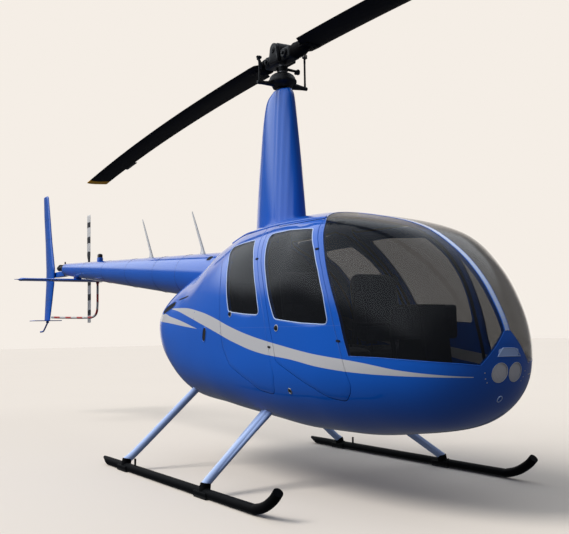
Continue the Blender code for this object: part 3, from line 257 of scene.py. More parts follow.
def grown(loop, by):
    """The closed loop moved out by a distance along its corner normals."""
    loop = np.asarray(loop, float)
    ahead = np.roll(loop, -1, 0) - loop
    ahead /= np.maximum(np.linalg.norm(ahead, axis=1, keepdims=True), 1e-9)
    area = np.sum(loop[:, 0] * np.roll(loop[:, 1], -1) - np.roll(loop[:, 0], -1) * loop[:, 1])
    side = np.stack([ahead[:, 1], -ahead[:, 0]], 1) * np.sign(area)
    out = side + np.roll(side, 1, 0)
    out /= np.maximum(np.linalg.norm(out, axis=1, keepdims=True), 1e-9)
    return loop + out * by / np.maximum((out * side).sum(1, keepdims=True), 0.5)


def rays_to(loop, heart, angles):
    """Where rays from the heart at the angles meet a closed loop."""
    a, b = loop - heart, np.roll(loop, -1, 0) - heart
    d = np.stack([np.cos(angles), np.sin(angles)], 1)
    edge = b - a
    cross = d[:, None, 0] * edge[None, :, 1] - d[:, None, 1] * edge[None, :, 0]
    cross = np.where(np.abs(cross) < 1e-12, 1e-12, cross)
    t = (a[None, :, 0] * edge[None, :, 1] - a[None, :, 1] * edge[None, :, 0]) / cross
    s = (a[None, :, 0] * d[:, None, 1] - a[None, :, 1] * d[:, None, 0]) / cross
    t = np.where((s >= -1e-7) & (s <= 1 + 1e-7) & (t > 0), t, -1)
    return heart + d * t.max(1)[:, None]


def matched(outer, inner, heart, count=160):
    """Two loops sampled at the same angles about a heart, every corner of both among them."""
    angles = [np.linspace(-np.pi, np.pi, count, endpoint=False)]
    for loop in (outer, inner):
        if loop is not None:
            off = loop - heart
            angles.append(np.arctan2(off[:, 1], off[:, 0]))
    angles = np.unique(np.round(np.concatenate(angles), 4))
    first = rays_to(outer, heart, angles)
    second = np.tile(heart, (len(angles), 1)) if inner is None else rays_to(inner, heart, angles)
    return first, second


def joined(x, y, z):
    """Points from their three coordinates, each an array or one number for all."""
    return np.stack(np.broadcast_arrays(x, y, z), -1)


def evenly(points, count):
    """Points parted evenly along the line through the given ones."""
    run = np.concatenate([[0], np.cumsum(np.linalg.norm(np.diff(points, axis=0), axis=1))])
    even = np.linspace(0, run[-1], count)
    return np.stack([np.interp(even, run, row) for row in points.T], 1)


def smooth_path(points, count):
    """A Catmull-Rom curve through the points, evenly parted."""
    p = np.asarray(points, float)
    p = np.vstack([2 * p[:1] - p[1:2], p, 2 * p[-1:] - p[-2:-1]])
    t = np.linspace(0, len(p) - 3, count * 8)
    k = np.minimum(t.astype(int), len(p) - 4)
    u = (t - k)[:, None]
    a, b, c, d = p[k], p[k + 1], p[k + 2], p[k + 3]
    q = 0.5 * (2 * b + (c - a) * u + (2 * a - 5 * b + 4 * c - d) * u * u + (3 * b - a - 3 * c + d) * u ** 3)
    return evenly(q, count)


def eased(outline, sigma=0.009, count=240):
    """The rounded outline, evenly parted and smoothed round the loop by a bell curve."""
    loop = rounded(outline)
    closed = np.vstack([loop, loop[:1]])
    run = np.concatenate([[0], np.cumsum(np.linalg.norm(np.diff(closed, axis=0), axis=1))])
    even = np.arange(count) * run[-1] / count
    made = np.stack([np.interp(even, run, closed[:, j]) for j in (0, 1)], 1)
    wave = np.fft.fftfreq(count, run[-1] / count)[:, None]
    return np.real(np.fft.ifft(np.fft.fft(made, axis=0) * np.exp(-2 * (np.pi * wave * sigma) ** 2), axis=0))


def doorway(outline, shrink=0.0):
    """A door's opening: a gap all round, wider where the door swings aft or down past the frame."""
    points = eased(outline, 0.006)
    gap = grown(points, DOOR_GAP)
    out = gap - points
    aft = np.where(out[:, 0] < 0, 1.7 * np.clip((points[:, 1] - 1.40) / 0.25, 0, 1), 0)
    down = np.where((out[:, 1] < 0) & (points[:, 1] < 0.70), 0.6, 0)
    made = gap + out * np.where(aft > 0, aft, down)[:, None]
    return grown(made, -shrink) if shrink else made


# Meshes

def grid_faces(rows, cols, wrap_rows=False, wrap_cols=False):
    """Quads of a grid of rows by cols vertices, closed one way or both."""
    i = np.arange(rows if wrap_rows else rows - 1)[:, None]
    j = np.arange(cols if wrap_cols else cols - 1)[None, :]
    a, b = i * cols + j, i * cols + (j + 1) % cols
    c, d = ((i + 1) % rows) * cols + (j + 1) % cols, ((i + 1) % rows) * cols + j
    return np.stack([a, b, c, d], -1).reshape(-1, 4)


def write_mesh(name, verts, faces):
    """A mesh from vertices and quads: doubles merged, thin quads dropped, faces turned outwards."""
    verts = np.round(np.asarray(verts, float).reshape(-1, 3), 7)
    verts, index = np.unique(verts, axis=0, return_inverse=True)
    index = index.reshape(-1)
    faces = index[np.asarray(faces)]
    polys = []
    same = (faces == np.roll(faces, -1, 1))
    whole = ~same.any(1)
    polys.extend(faces[whole].tolist())
    for quad in faces[~whole]:
        kept = list(dict.fromkeys(quad.tolist()))
        if len(kept) > 2:
            polys.append(kept)
    mesh = bpy.data.meshes.new(name)
    mesh.from_pydata(verts.tolist(), [], polys)
    mesh.validate()
    a = verts[[p[0] for p in polys]]
    b = verts[[p[1] for p in polys]]
    c = verts[[p[2] for p in polys]]
    d = verts[[p[-1] for p in polys]]
    volume = np.einsum("ij,ij->i", a, np.cross(b, c)).sum() + np.einsum("ij,ij->i", a, np.cross(c, d)).sum()
    if volume < 0:
        mesh.flip_normals()
    return mesh


def built(name, grids):
    """One mesh of a grid or of several, each (points, rows close round, columns close round)."""
    verts, faces, start = [], [], 0
    if isinstance(grids, tuple):
        grids = [grids]
    for points, wrap_rows, wrap_cols in grids:
        rows, cols = points.shape[:2]
        verts.append(points.reshape(-1, 3))
        faces.append(grid_faces(rows, cols, wrap_rows, wrap_cols) + start)
        start += rows * cols
    return write_mesh(name, np.concatenate(verts), np.concatenate(faces))


def piece(name, shape, finishes, body=BODY, replaces=(), smooth=38, place=PLACE):
    """The finished piece, from a mesh or from grids, riding on its body.

    Its mesh is moved to the model's place and its finishes go into slots. An edge sharper than the
    angle of smooth stays sharp."""
    mesh = shape if isinstance(shape, bpy.types.Mesh) else built(name, shape)
    mesh.transform(place)
    made = placed(name, mesh)
    mesh.materials.clear()
    for one in (finishes if isinstance(finishes, (list, tuple)) else [finishes]):
        mesh.materials.append(finish(one))
    if smooth is not None:
        mesh.shade_smooth()
        mesh.set_sharp_from_angle(angle=math.radians(smooth))
    if replaces:
        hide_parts(*replaces)
    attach(made, body)
    return made


def slab(points, depth, out=0.0):
    """A closed sheet on the skin: its front lies out along the normals, its back lies in by the depth."""
    normal = skin_normal(points)
    front, back = points + normal * out, points - normal * depth
    rows, cols = points.shape[:2]
    count = rows * cols
    index = np.arange(count).reshape(rows, cols)
    rim = np.concatenate([index[0, :-1], index[:-1, -1], index[-1, :0:-1], index[:0:-1, 0]])
    after = np.roll(rim, -1)
    faces = [grid_faces(rows, cols), grid_faces(rows, cols)[:, ::-1] + count,
             np.stack([after, rim, rim + count, after + count], 1)]
    verts = np.concatenate([front.reshape(-1, 3), back.reshape(-1, 3)])
    return write_mesh("slab", verts, np.concatenate(faces))


def ring_panel(outer, inner, heart, side, depth=WALL, roll=0.0015, rows=12, within=0.0):
    """A panel with a hole: a ring between two loops on the skin, closed over both edges and the inside.

    Point(u, v) = skin at (outer(v) + t(u) (inner(v) - outer(v))), set in by the depth that u asks."""
    first, second = matched(outer, inner, heart)
    run = second - first
    unit = run / np.linalg.norm(run, axis=1, keepdims=True)
    turn = np.linspace(0, np.pi / 2, 4)

    def at(t, inset, deep):
        return on_side(first + run * t + unit * inset, side, np.full(len(first), deep))

    made = [at(0, within, depth), at(0, within, depth * 0.35)]
    made += [at(0, roll * (1 - math.cos(a)), roll * (1 - math.sin(a))) for a in turn]
    made += [at(t, roll * (1 - 2 * t), 0) for t in np.linspace(0, 1, rows)[1:-1]]
    made += [at(1, -roll * (1 - math.cos(a)), roll * (1 - math.sin(a))) for a in turn[::-1]]
    made += [at(1, 0, depth)]
    made += [at(t, within * (1 - t), depth) for t in np.linspace(1, 0, 6)[1:-1]]
    return np.array(made), True, True


def pane(loop, heart, side, depth=GLASS, sunk=0.0015, rows=12):
    """A closed sheet inside a loop: rings from its heart to the edge on the face, and back on the inside."""
    first, second = matched(loop, None, heart)
    run = first - second

    def at(t, deep):
        return on_side(second + run * t, side, np.full(len(first), deep + sunk))

    steps = np.linspace(0, 1, rows)
    made = [at(t, 0) for t in steps[:-1]] + [at(0.998, 0), at(1, 0.001), at(1, depth)]
    made += [at(t, depth) for t in steps[::-1][1:]]
    return np.array(made), False, True


def capped(grid):
    """The grid with its first and last rows drawn together to a point."""
    ends = [row.mean(1, keepdims=True).repeat(grid.shape[1], 1) for row in (grid[:1], grid[-1:])]
    return np.concatenate([ends[0], grid, ends[1]])


def sweep(path, profile, closed=False, normals=None, scale=None):
    """A profile (across, out) carried along a path.

    Point(i, j) = path(i) + across(j) side(i) + out(j) normal(i). The normals are given, or carried
    along the path with as little turning as can be. Open ends are closed to a point."""
    path, profile = np.asarray(path, float), np.asarray(profile, float)
    if closed:
        tangent = np.roll(path, -1, 0) - np.roll(path, 1, 0)
    else:
        tangent = np.gradient(path, axis=0)
    tangent /= np.linalg.norm(tangent, axis=1, keepdims=True)
    if normals is None:
        up = np.array((0, 0, 1.0)) if abs(tangent[0, 2]) < 0.9 else np.array((1.0, 0, 0))
        normals = np.empty_like(path)
        for k, t in enumerate(tangent):
            up = up - t * (up @ t)
            up /= np.linalg.norm(up)
            normals[k] = up
    normals = np.asarray(normals, float)
    normals = normals - tangent * (normals * tangent).sum(1, keepdims=True)
    normals /= np.linalg.norm(normals, axis=1, keepdims=True)
    side = np.cross(tangent, normals)
    size = np.ones((len(path), 1, 1)) if scale is None else np.asarray(scale, float).reshape(len(path), 1,
                                                                                             -1)
    shaped = profile[None] * size
    grid = path[:, None] + shaped[..., :1] * side[:, None] + shaped[..., 1:] * normals[:, None]
    return grid if closed else capped(grid), closed, True


def circle(radius, count=16):
    """A round section: radius (cos a, sin a)."""
    a = np.arange(count) * 2 * np.pi / count
    return np.stack([radius * np.cos(a), radius * np.sin(a)], 1)


def aerofoil(chord, thick, lead=0.3, half=14):
    """A symmetric aerofoil as (along the chord, height): the four-digit thickness law, its nose at +lead."""
    a = np.arange(2 * half) * np.pi / half
    c = 0.5 * (1 - np.cos(a))
    t = 5 * thick * (0.2969 * np.sqrt(c) - 0.126 * c - 0.3516 * c ** 2 + 0.2843 * c ** 3 - 0.1036 * c ** 4)
    return np.stack([chord * lead - c * chord, np.where(a <= np.pi, t, -t)], 1)


def revolve(profile, start, end, count=32, hollow=False):
    """A profile (radius, part of the way) turned about the line from start to end."""
    start, end = np.asarray(start, float), np.asarray(end, float)
    axis = end - start
    unit = axis / np.linalg.norm(axis)
    aside = np.cross(unit, (0, 0, 1.0) if abs(unit[2]) < 0.9 else (1.0, 0, 0))
    aside /= np.linalg.norm(aside)
    other = np.cross(unit, aside)
    a = np.arange(count) * 2 * np.pi / count
    ring = np.cos(a)[:, None] * aside + np.sin(a)[:, None] * other
    profile = np.asarray(profile, float)
    grid = start + axis * profile[:, 1, None, None] + profile[:, 0, None, None] * ring[None]
    return grid, hollow, True


def rod(start, end, radius, end_radius=None, round_edge=0.15, count=20):
    """A round bar with softened end edges and closed ends, as a revolve grid."""
    other = radius if end_radius is None else end_radius
    length = np.linalg.norm(np.subtract(end, start))
    e = min(round_edge * min(radius, other) / length, 0.4)
    k = 1 - round_edge
    profile = ((0, 0), (radius * k, 0), (radius, e), (other, 1 - e), (other * k, 1), (0, 1))
    return revolve(profile, start, end, count)


def brick(low, high, edge=0.004, steps=3):
    """A box with rounded edges: a sphere grid whose corners are pushed out to the box's eight corners."""
    low, high = np.asarray(low, float), np.asarray(high, float)
    edge = min(edge, 0.49 * float((high - low).min()))
    lat = np.concatenate([np.linspace(-np.pi / 2, 0, steps + 1), np.linspace(0, np.pi / 2, steps + 1)])
    lon = np.concatenate([np.linspace(k, k + 1, steps + 1) * np.pi / 2 for k in range(4)])
    up = np.repeat([-1.0, 1.0], steps + 1)
    sx = np.repeat([1.0, -1.0, -1.0, 1.0], steps + 1)
    sy = np.repeat([1.0, 1.0, -1.0, -1.0], steps + 1)
    half, centre = (high - low) / 2 - edge, (high + low) / 2
    x = centre[0] + sx[None] * half[0] + edge * np.cos(lat)[:, None] * np.cos(lon)[None]
    y = centre[1] + sy[None] * half[1] + edge * np.cos(lat)[:, None] * np.sin(lon)[None]
    z = (centre[2] + up * half[2] + edge * np.sin(lat))[:, None] + 0 * lon[None]
    return capped(np.stack([x, y, z], -1)), False, True


def domes(points, normals, radius, height):
    """Small domes on a surface, as one mesh: each has three rings and a crown along its normal."""
    points, normals = np.asarray(points, float), np.asarray(normals, float)
    aside = np.cross(normals, (0.31, 0.77, 0.55))
    aside /= np.linalg.norm(aside, axis=1, keepdims=True)
    other = np.cross(normals, aside)
    a = np.arange(8) * np.pi / 4
    rings = []
    for r, h in ((1, -0.3), (0.95, 0.35), (0.6, 0.85), (0.0, 1.0)):
        rings.append(points[:, None] + radius * r * (np.cos(a)[None, :, None] * aside[:, None]
                     + np.sin(a)[None, :, None] * other[:, None]) + normals[:, None] * height * h)
    grid = np.stack(rings, 1)
    count = len(points)
    faces = grid_faces(4, 8, False, True)
    faces = (faces[None] + (np.arange(count) * 32)[:, None, None]).reshape(-1, 4)
    return write_mesh("domes", grid, faces)


def placed(name, data):
    """An object of the scene that shows the mesh, camera or light."""
    made = bpy.data.objects.new(name, data)
    bpy.context.scene.collection.objects.link(made)
    return made


def baked(thing):
    """The object's mesh as its modifiers leave it."""
    graph = bpy.context.evaluated_depsgraph_get()
    return bpy.data.meshes.new_from_object(thing.evaluated_get(graph), depsgraph=graph)


def read(items, key, width=1, kind=float):
    """One attribute of a mesh's vertices, corners or faces as an array."""
    made = np.empty(len(items) * width, kind)
    items.foreach_get(key, made)
    return made.reshape(-1, width) if width > 1 else made


def carved(name, body, cutters, kept=None):
    """The body mesh less the cutters, and kept only inside another, by exact Booleans."""
    base = placed(name, body)
    tools = []
    for cutter, way in [(c, "DIFFERENCE") for c in cutters] + ([(kept, "INTERSECT")] if kept else []):
        tool = placed(name, cutter)
        tools.append(tool)
        step = base.modifiers.new(way, "BOOLEAN")
        step.operation, step.solver, step.object = way, "EXACT", tool
    bpy.context.view_layer.update()
    mesh = baked(base)
    for spent in (base, *tools):
        bpy.data.objects.remove(spent, do_unlink=True)
    mesh.name = name
    return mesh


def side_prism(loop, low, high):
    """The loop of the side view carried from y low to y high, as a closed mesh."""
    count = len(loop)
    near = np.stack([loop[:, 0], np.full(count, low), loop[:, 1]], 1)
    far = near + (0, high - low, 0)
    k = np.arange(count)
    quads = np.stack([k, (k + 1) % count, (k + 1) % count + count, k + count], 1).tolist()
    mesh = bpy.data.meshes.new("prism")
    mesh.from_pydata(np.concatenate([near, far]).tolist(), [],
                     quads + [k[::-1].tolist(), (k + count).tolist()])
    turn_out(mesh)
    return mesh


def turn_out(mesh):
    """Turn the whole closed mesh so that its volume is positive."""
    mesh.calc_loop_triangles()
    tris = read(mesh.loop_triangles, "vertices", 3, int)
    a, b, c = read(mesh.vertices, "co", 3)[tris].transpose(1, 0, 2)
    if np.einsum("ij,ij->i", a, np.cross(b, c)).sum() < 0:
        mesh.flip_normals()


def skin_shading(mesh):
    """Sort faces into outer skin, inner skin and cut edges, and give the skins the hull's own normals.

    A corner on the skin takes the slope of skin_level, a corner on the inside its opposite."""
    co = read(mesh.vertices, "co", 3)
    normal = skin_normal(co)
    outside = np.abs(skin_level(co) - 1) < 1e-3
    face_normal = read(mesh.polygons, "normal", 3)
    start, total = [read(mesh.polygons, key, 1, int) for key in ("loop_start", "loop_total")]
    corner = read(mesh.loops, "vertex_index", 1, int)
    owner = np.repeat(np.arange(len(total)), total)
    toward = (normal[corner] * face_normal[owner]).sum(1)
    mean = np.add.reduceat(toward, start) / total
    all_out = np.add.reduceat(outside[corner].astype(int), start) == total
    outer = all_out & (mean > 0.8)
    inner = ~all_out & (mean < -0.8)
    made = face_normal[owner].copy()
    made[outer[owner]] = normal[corner][outer[owner]]
    made[inner[owner]] = -normal[corner][inner[owner]]
    mesh.polygons.foreach_set("material_index", inner.astype(int))
    mesh.shade_smooth()
    mesh.normals_split_custom_set(made.tolist())
    return mesh


# Finishes

class Wire:
    """A shader socket that joins in sums and products, each adding its Math node."""

    def __init__(self, sheet, socket):
        self.sheet, self.socket = sheet, socket

    def _with(self, way, first, second=None, clamp=False):
        values = {0: first} if second is None else {0: first, 1: second}
        return self.sheet.node("ShaderNodeMath", {"operation": way, "use_clamp": clamp}, values)

    def __add__(self, other):
        return self._with("ADD", self, other)

    __radd__ = __add__

    def __mul__(self, other):
        return self._with("MULTIPLY", self, other)

    __rmul__ = __mul__

    def __sub__(self, other):
        return self._with("SUBTRACT", self, other)

    def __rsub__(self, other):
        return self._with("SUBTRACT", other, self)

    def __truediv__(self, other):
        return self._with("DIVIDE", self, other)

    def __pow__(self, other):
        return self._with("POWER", self, other)

    def __abs__(self):
        return self._with("ABSOLUTE", self)

    def fold(self, size):
        """The place within a repeat of this size, from 0 to 1."""
        return self._with("FRACT", self / size)

    def clamp(self):
        """The value held between 0 and 1."""
        return self._with("ADD", self, 0.0, True)

    def most(self, other):
        """The larger of the two."""
        return self._with("MAXIMUM", self, other)

    def edge(self, soft=0.0012):
        """0 below zero and 1 above it, over a short ramp."""
        return (self / soft + 0.5).clamp()


class Sheet:
    """One material, or the world: its shader and the nodes that feed it."""

    def __init__(self, name, world=None):
        self.material = world or bpy.data.materials.new(name)
        self.material.use_nodes = True
        self.nodes = self.material.node_tree.nodes
        self.links = self.material.node_tree.links
        self.shader = self.nodes.get("Principled BSDF")
        self._place = None

    def node(self, kind, settings=None, values=None, out=0):
        """Any node: its settings or curve points first, then its sockets' values or links."""
        made = self.nodes.new(kind)
        for key, value in (settings or {}).items():
            if key == "points":
                curve = made.mapping.curves[0]
                made.mapping.extend = "HORIZONTAL"
                for n, (at, height) in enumerate(value):
                    spot = curve.points[n] if n < 2 else curve.points.new(at, height)
                    spot.location = (at, height)
                    spot.handle_type = "AUTO_CLAMPED"
                made.mapping.update()
            else:
                setattr(made, key, value)
        for key, value in (values or {}).items():
            self.feed(made.inputs[key], value)
        return Wire(self, made.outputs[out])

    def feed(self, socket, value):
        """Link a wire to the socket, or set its value."""
        if isinstance(value, Wire):
            self.links.new(value.socket, socket)
        elif isinstance(value, (tuple, list)) and len(value) == 3 and socket.type == "RGBA":
            socket.default_value = (*value, 1)
        else:
            socket.default_value = value

    def place(self):
        """Object coordinates from the mast's foot, as three wires."""
        if self._place is None:
            at = self.node("ShaderNodeTexCoord", out=3)
            parts = self.nodes.new("ShaderNodeSeparateXYZ")
            self.links.new(at.socket, parts.inputs[0])
            self._place = (Wire(self, parts.outputs[0]) - MAST_X, Wire(self, parts.outputs[1]),
                           Wire(self, parts.outputs[2]), at)
        return self._place

    def noise(self, scale, detail=3.0, rough=0.5, stretch=None):
        """Noise in object coordinates, stretched where asked."""
        at = self.place()[3]
        if stretch:
            at = self.node("ShaderNodeMapping", None, {"Vector": at, "Scale": stretch})
        return self.node("ShaderNodeTexNoise", None, {"Vector": at, "Scale": scale, "Detail": detail,
                                                      "Roughness": rough})

    def mix(self, amount, first, second):
        """first (1 - amount) + second amount, as colours."""
        return self.node("ShaderNodeMix", {"data_type": "RGBA"}, {0: amount, 6: first, 7: second}, 2)

    def line(self, x, points):
        """The height of a line through the points, at x, as a curve node."""
        xs, zs = [p[0] for p in points], [p[1] for p in points]
        low, span = min(zs), max(max(zs) - min(zs), 1e-6)
        at = (x - xs[0]) / (xs[-1] - xs[0])
        knots = [((a - xs[0]) / (xs[-1] - xs[0]), (b - low) / span) for a, b in points]
        knots = [knots[0], knots[-1], *knots[1:-1]]
        return self.node("ShaderNodeFloatCurve", {"points": knots}, {1: at.clamp()}) * span + low

    def bump(self, height, depth, strength=1.0):
        """A normal tilted by the slope of the height."""
        return self.node("ShaderNodeBump", None, {"Height": height, "Distance": depth, "Strength": strength})

    def done(self, **sockets):
        """The material with its values or wires in the shader's sockets."""
        names = {"colour": "Base Color", "rough": "Roughness", "metal": "Metallic", "coat": "Coat Weight",
                 "coat_rough": "Coat Roughness", "normal": "Normal", "alpha": "Alpha",
                 "sheen": "Sheen Weight", "sheen_rough": "Sheen Roughness", "specular": "Specular IOR Level"}
        for key, value in sockets.items():
            self.feed(self.shader.inputs[names[key]], value)
        return self.material


BLUE = (0.002, 0.103, 0.540)


def look():
    """The colours and measures that the add-on's panel offers."""
    return bpy.context.scene.helicopter_look


def paint(name, striped):
    """Deep blue lacquer: a faint cloud in the colour, an orange-peel bump and road dust low down."""
    s = Sheet(name)
    x, _, z, _ = s.place()
    blue = tuple(look().blue)
    deep = tuple(c * 0.82 for c in blue)
    colour = s.mix(s.noise(1.7, 2.0), deep, blue)
    if striped:
        band = (s.line(x, STRIPE_TOP) - z).edge() * (z - s.line(x, STRIPE_LOW)).edge() * (2.2015 - x).edge()
        flash = (s.line(x, FLASH_TOP) - z).edge() * (z - s.line(x, FLASH_LOW)).edge()
        colour = s.mix(band.most(flash), colour, tuple(look().stripe))
    dust = ((0.62 - z) * 0.9).clamp() * s.noise(9.0, 5.0, 0.65) * 0.22
    colour = s.mix(dust, colour, (0.12, 0.12, 0.13))
    peel = s.bump(s.noise(140.0, 2.0), 0.0004, 0.35)
    return s.done(colour=colour, rough=0.45 + dust * 0.4, coat=1.0, coat_rough=0.04, specular=0.08,
                  normal=peel)


def blue_paint():
    """The lacquer with the side stripe and the flash."""
    return paint("blue lacquer", True)


def plain_paint():
    """The lacquer without stripes."""
    return paint("blue lacquer plain", False)


def pale_highlight_paint():
    """The same lacquer, paler and duller, as on the legs."""
    s = Sheet("blue lacquer with painted highlight")
    cloud = s.noise(5.0, 3.0)
    # The pale sky tone mixed into the blue is a painted highlight: it stands for the sky's reflection on
    # round tubes and beads.
    colour = s.mix(0.54 + cloud * 0.16, tuple(look().blue), (0.62, 0.76, 0.98))
    return s.done(colour=colour, rough=0.4, coat=1.0, coat_rough=0.06,
                  normal=s.bump(s.noise(140.0), 0.0004, 0.35))


def smoked_glass():
    """Smoked acrylic: nearly black, half clear, with a mirror-like face."""
    s = Sheet("smoked acrylic")
    tint = s.mix(s.noise(3.0, 2.0), (0.008, 0.009, 0.011), (0.014, 0.015, 0.017))
    return s.done(colour=tint, rough=0.06 + s.noise(2.2, 2.0) * 0.05, alpha=look().glass_tint, specular=0.22)


def cabin_trim():
    """Dark grey vinyl with a leather-like grain."""
    s = Sheet("cabin trim")
    grain = s.node("ShaderNodeTexVoronoi", {"feature": "DISTANCE_TO_EDGE"},
                   {"Vector": s.place()[3], "Scale": 420.0})
    cloud = s.noise(6.0)
    return s.done(colour=s.mix(cloud, (0.016, 0.017, 0.020), (0.032, 0.033, 0.037)),
                  rough=0.62 + cloud * 0.15,
                  normal=s.bump(grain, 0.0006, 0.6))


def seat_cloth():
    """Woven dark grey cloth: warp and weft as two crossed waves, with fuzz."""
    s = Sheet("seat cloth")
    x, y, z, _ = s.place()
    warp = abs((y.fold(0.0042) - 0.5) * 2.0)
    weft = abs(((x + z * 0.8).fold(0.0042) - 0.5) * 2.0)
    weave = warp * 0.5 + weft * 0.5
    fuzz = s.noise(260.0, 4.0)
    tone = s.mix(weave * 0.6 + fuzz * 0.4, (0.008, 0.008, 0.010), (0.042, 0.042, 0.047))
    return s.done(colour=tone, rough=0.93, sheen=0.3, sheen_rough=0.5,
                  normal=s.bump(weave + fuzz * 0.5, 0.0009, 0.7))


def belt_web():
    """Dark webbing with fine ribs across it."""
    s = Sheet("belt webbing")
    x, _, z, _ = s.place()
    rib = abs(((x + z).fold(0.003) - 0.5) * 2.0)
    return s.done(colour=s.mix(rib, (0.02, 0.02, 0.023), (0.06, 0.06, 0.066)), rough=0.85,
                  normal=s.bump(rib, 0.0006))


def black_metal():
    """Satin black enamel with worn, lighter scuffs."""
    s = Sheet("satin black enamel")
    wear = (s.noise(26.0, 6.0, 0.7) - 0.60).edge(0.12)
    fine = s.noise(180.0, 3.0)
    return s.done(colour=s.mix(wear * 0.30, (0.006, 0.006, 0.007), (0.09, 0.088, 0.085)),
                  rough=0.40 + fine * 0.2,
                  specular=0.3, normal=s.bump(fine, 0.0004, 0.4))


def skid_metal():
    """Black enamel, rubbed to grey along the bottom of the skids."""
    s = Sheet("skid enamel")
    rub = ((0.022 - s.place()[2]) * 60.0).clamp() * s.noise(40.0, 5.0, 0.7)
    scuff = (s.noise(22.0, 6.0, 0.72) - 0.64).edge(0.1) * 0.2
    return s.done(colour=s.mix((rub + scuff * 0.3).clamp(), (0.003, 0.003, 0.0035), (0.08, 0.078, 0.075)),
                  rough=0.55,
                  specular=0.04, normal=s.bump(s.noise(160.0), 0.0005, 0.5))


def blade_paint():
    """Matt black blades with a rubbed metal nose and an ochre tip."""
    s = Sheet("rotor blade paint")
    x, y, _, _ = s.place()
    reach = (x * x + y * y) ** 0.5
    tip = (reach - look().tip_band).edge(0.004)
    streak = s.noise(30.0, 4.0, 0.6, (0.15, 1.0, 1.0))
    base = s.mix(streak, (0.0015, 0.0012, 0.0012), (0.0060, 0.0050, 0.0050))
    return s.done(colour=s.mix(tip, base, (0.95, 0.45, 0.03)), rough=0.55 + streak * 0.2, specular=0.08,
                  normal=s.bump(streak, 0.0005, 0.3))


def tail_blade_paint():
    """White and black bands across the tail rotor blades, by the distance from the hub."""
    s = Sheet("tail blade bands")
    x, _, z, _ = s.place()
    r = ((z - 1.943) * (z - 1.943) + (x + 5.655) * (x + 5.655)) ** 0.5
    white = (r - 0.637).edge(0.003)
    white = white.most((r - 0.437).edge(0.003) * (0.565 - r).edge(0.003))
    white = white.most((r - 0.235).edge(0.003) * (0.350 - r).edge(0.003))
    grime = s.noise(35.0, 4.0)
    black = s.mix(grime, (0.012, 0.012, 0.013), (0.030, 0.030, 0.032))
    pale = s.mix(grime, (0.62, 0.60, 0.57), (0.76, 0.74, 0.71))
    return s.done(colour=s.mix(white, black, pale), rough=0.34 + grime * 0.15, coat=0.3)


def guard_paint():
    """Red and pale grey bands along the tail guard, by the way travelled down and aft."""
    s = Sheet("guard bands")
    x, _, z, _ = s.place()
    run = (1.791 - z) + (-4.985 - x) * 1.07
    red = (0.5 - run.fold(0.213)).edge(0.02)
    grime = s.noise(60.0, 4.0)
    pale = s.mix(grime, (0.42, 0.41, 0.40), (0.60, 0.58, 0.56))
    return s.done(colour=s.mix(red, pale, s.mix(grime, (0.40, 0.022, 0.018), (0.50, 0.035, 0.028))),
                  rough=0.4, coat=0.3)


def lamp_glass():
    """Frosted lens: grey, with upright flutes, a little of the bowl showing through."""
    s = Sheet("frosted lens")
    flute = abs((s.place()[1].fold(0.009) - 0.5) * 2.0)
    return s.done(colour=s.mix(flute, (0.66, 0.63, 0.63), (0.84, 0.81, 0.81)), rough=0.22, alpha=0.86,
                  specular=0.5,
                  normal=s.bump(flute, 0.0008, 0.5))


def red_lens():
    """Dark red beacon glass with rings."""
    s = Sheet("beacon lens")
    rib = abs((s.place()[2].fold(0.006) - 0.5) * 2.0)
    return s.done(colour=s.mix(rib, (0.006, 0.002, 0.002), (0.020, 0.004, 0.003)), rough=0.10, coat=0.6,
                  normal=s.bump(rib, 0.0006, 0.6))


def mottled(name, grain, dark, light, rough, vary=0.0, dent=None, more=None):
    """A finish in which one noise mixes the colour, varies the roughness and dents the surface."""
    s = Sheet(name)
    cloud = s.noise(*grain)
    sockets = dict(more or {}, colour=s.mix(cloud, dark, light),
                   rough=rough + cloud * vary if vary else rough)
    if dent:
        sockets["normal"] = s.bump(cloud, *dent)
    return s.done(**sockets)


# The leg finish is a paler blue, a painted highlight for legs and beads; the hollow finish is near-black,
# painted shade for openings.
FINISHES = {
    "blue": blue_paint, "plain": plain_paint, "leg": pale_highlight_paint, "glass": smoked_glass, "trim": cabin_trim,
    "cloth": seat_cloth, "belt": belt_web, "black": black_metal, "skid": skid_metal, "blade": blade_paint,
    "tail_blade": tail_blade_paint, "guard": guard_paint, "frost": lamp_glass, "beacon": red_lens,
}
MOTTLED = {
    "carpet": ("floor carpet", (520.0, 4.0, 0.7), (0.010, 0.010, 0.012), (0.040, 0.040, 0.044), 0.95, 0.0,
               (0.002, 0.9)),
    "steel": ("machined steel", (90.0, 3.0, 0.6, (1.0, 1.0, 9.0)), (0.33, 0.33, 0.34), (0.56, 0.56, 0.57),
              0.24, 0.2, None, {"metal": 1.0}),
    "rubber": ("black rubber", (300.0, 3.0), (0.008, 0.008, 0.008), (0.022, 0.022, 0.022), 0.7, 0.0,
               (0.0004, 0.5)),
    "grey": ("pale grey enamel", (14.0,), (0.50, 0.49, 0.48), (0.60, 0.59, 0.58), 0.38, 0.0, None,
             {"coat": 0.3}),
    "mirror": ("lamp reflector", (60.0, 2.0), (0.80, 0.80, 0.80), (0.93, 0.93, 0.92), 0.08, 0.06, None,
               {"metal": 1.0}),
    "dial": ("instrument face", (220.0,), (0.006, 0.006, 0.006), (0.020, 0.020, 0.020), 0.25, 0.0, None,
             {"coat": 0.6}),
    "engine": ("cast alloy", (70.0, 5.0, 0.7), (0.16, 0.16, 0.16), (0.34, 0.34, 0.33), 0.5, 0.2,
               (0.001, 0.6),
               {"metal": 0.8}),
    # Near-black hollow finish: painted shade standing for the dark inside of openings and of the cowl.
    "hollow": ("painted shade in openings", (40.0,), (0.003, 0.003, 0.003), (0.012, 0.012, 0.012), 0.9),
}
MADE = {}


def finish(name):
    """The finish of that name, made once."""
    if name not in MADE:
        MADE[name] = FINISHES[name]() if name in FINISHES else mottled(*MOTTLED[name])
    return MADE[name]


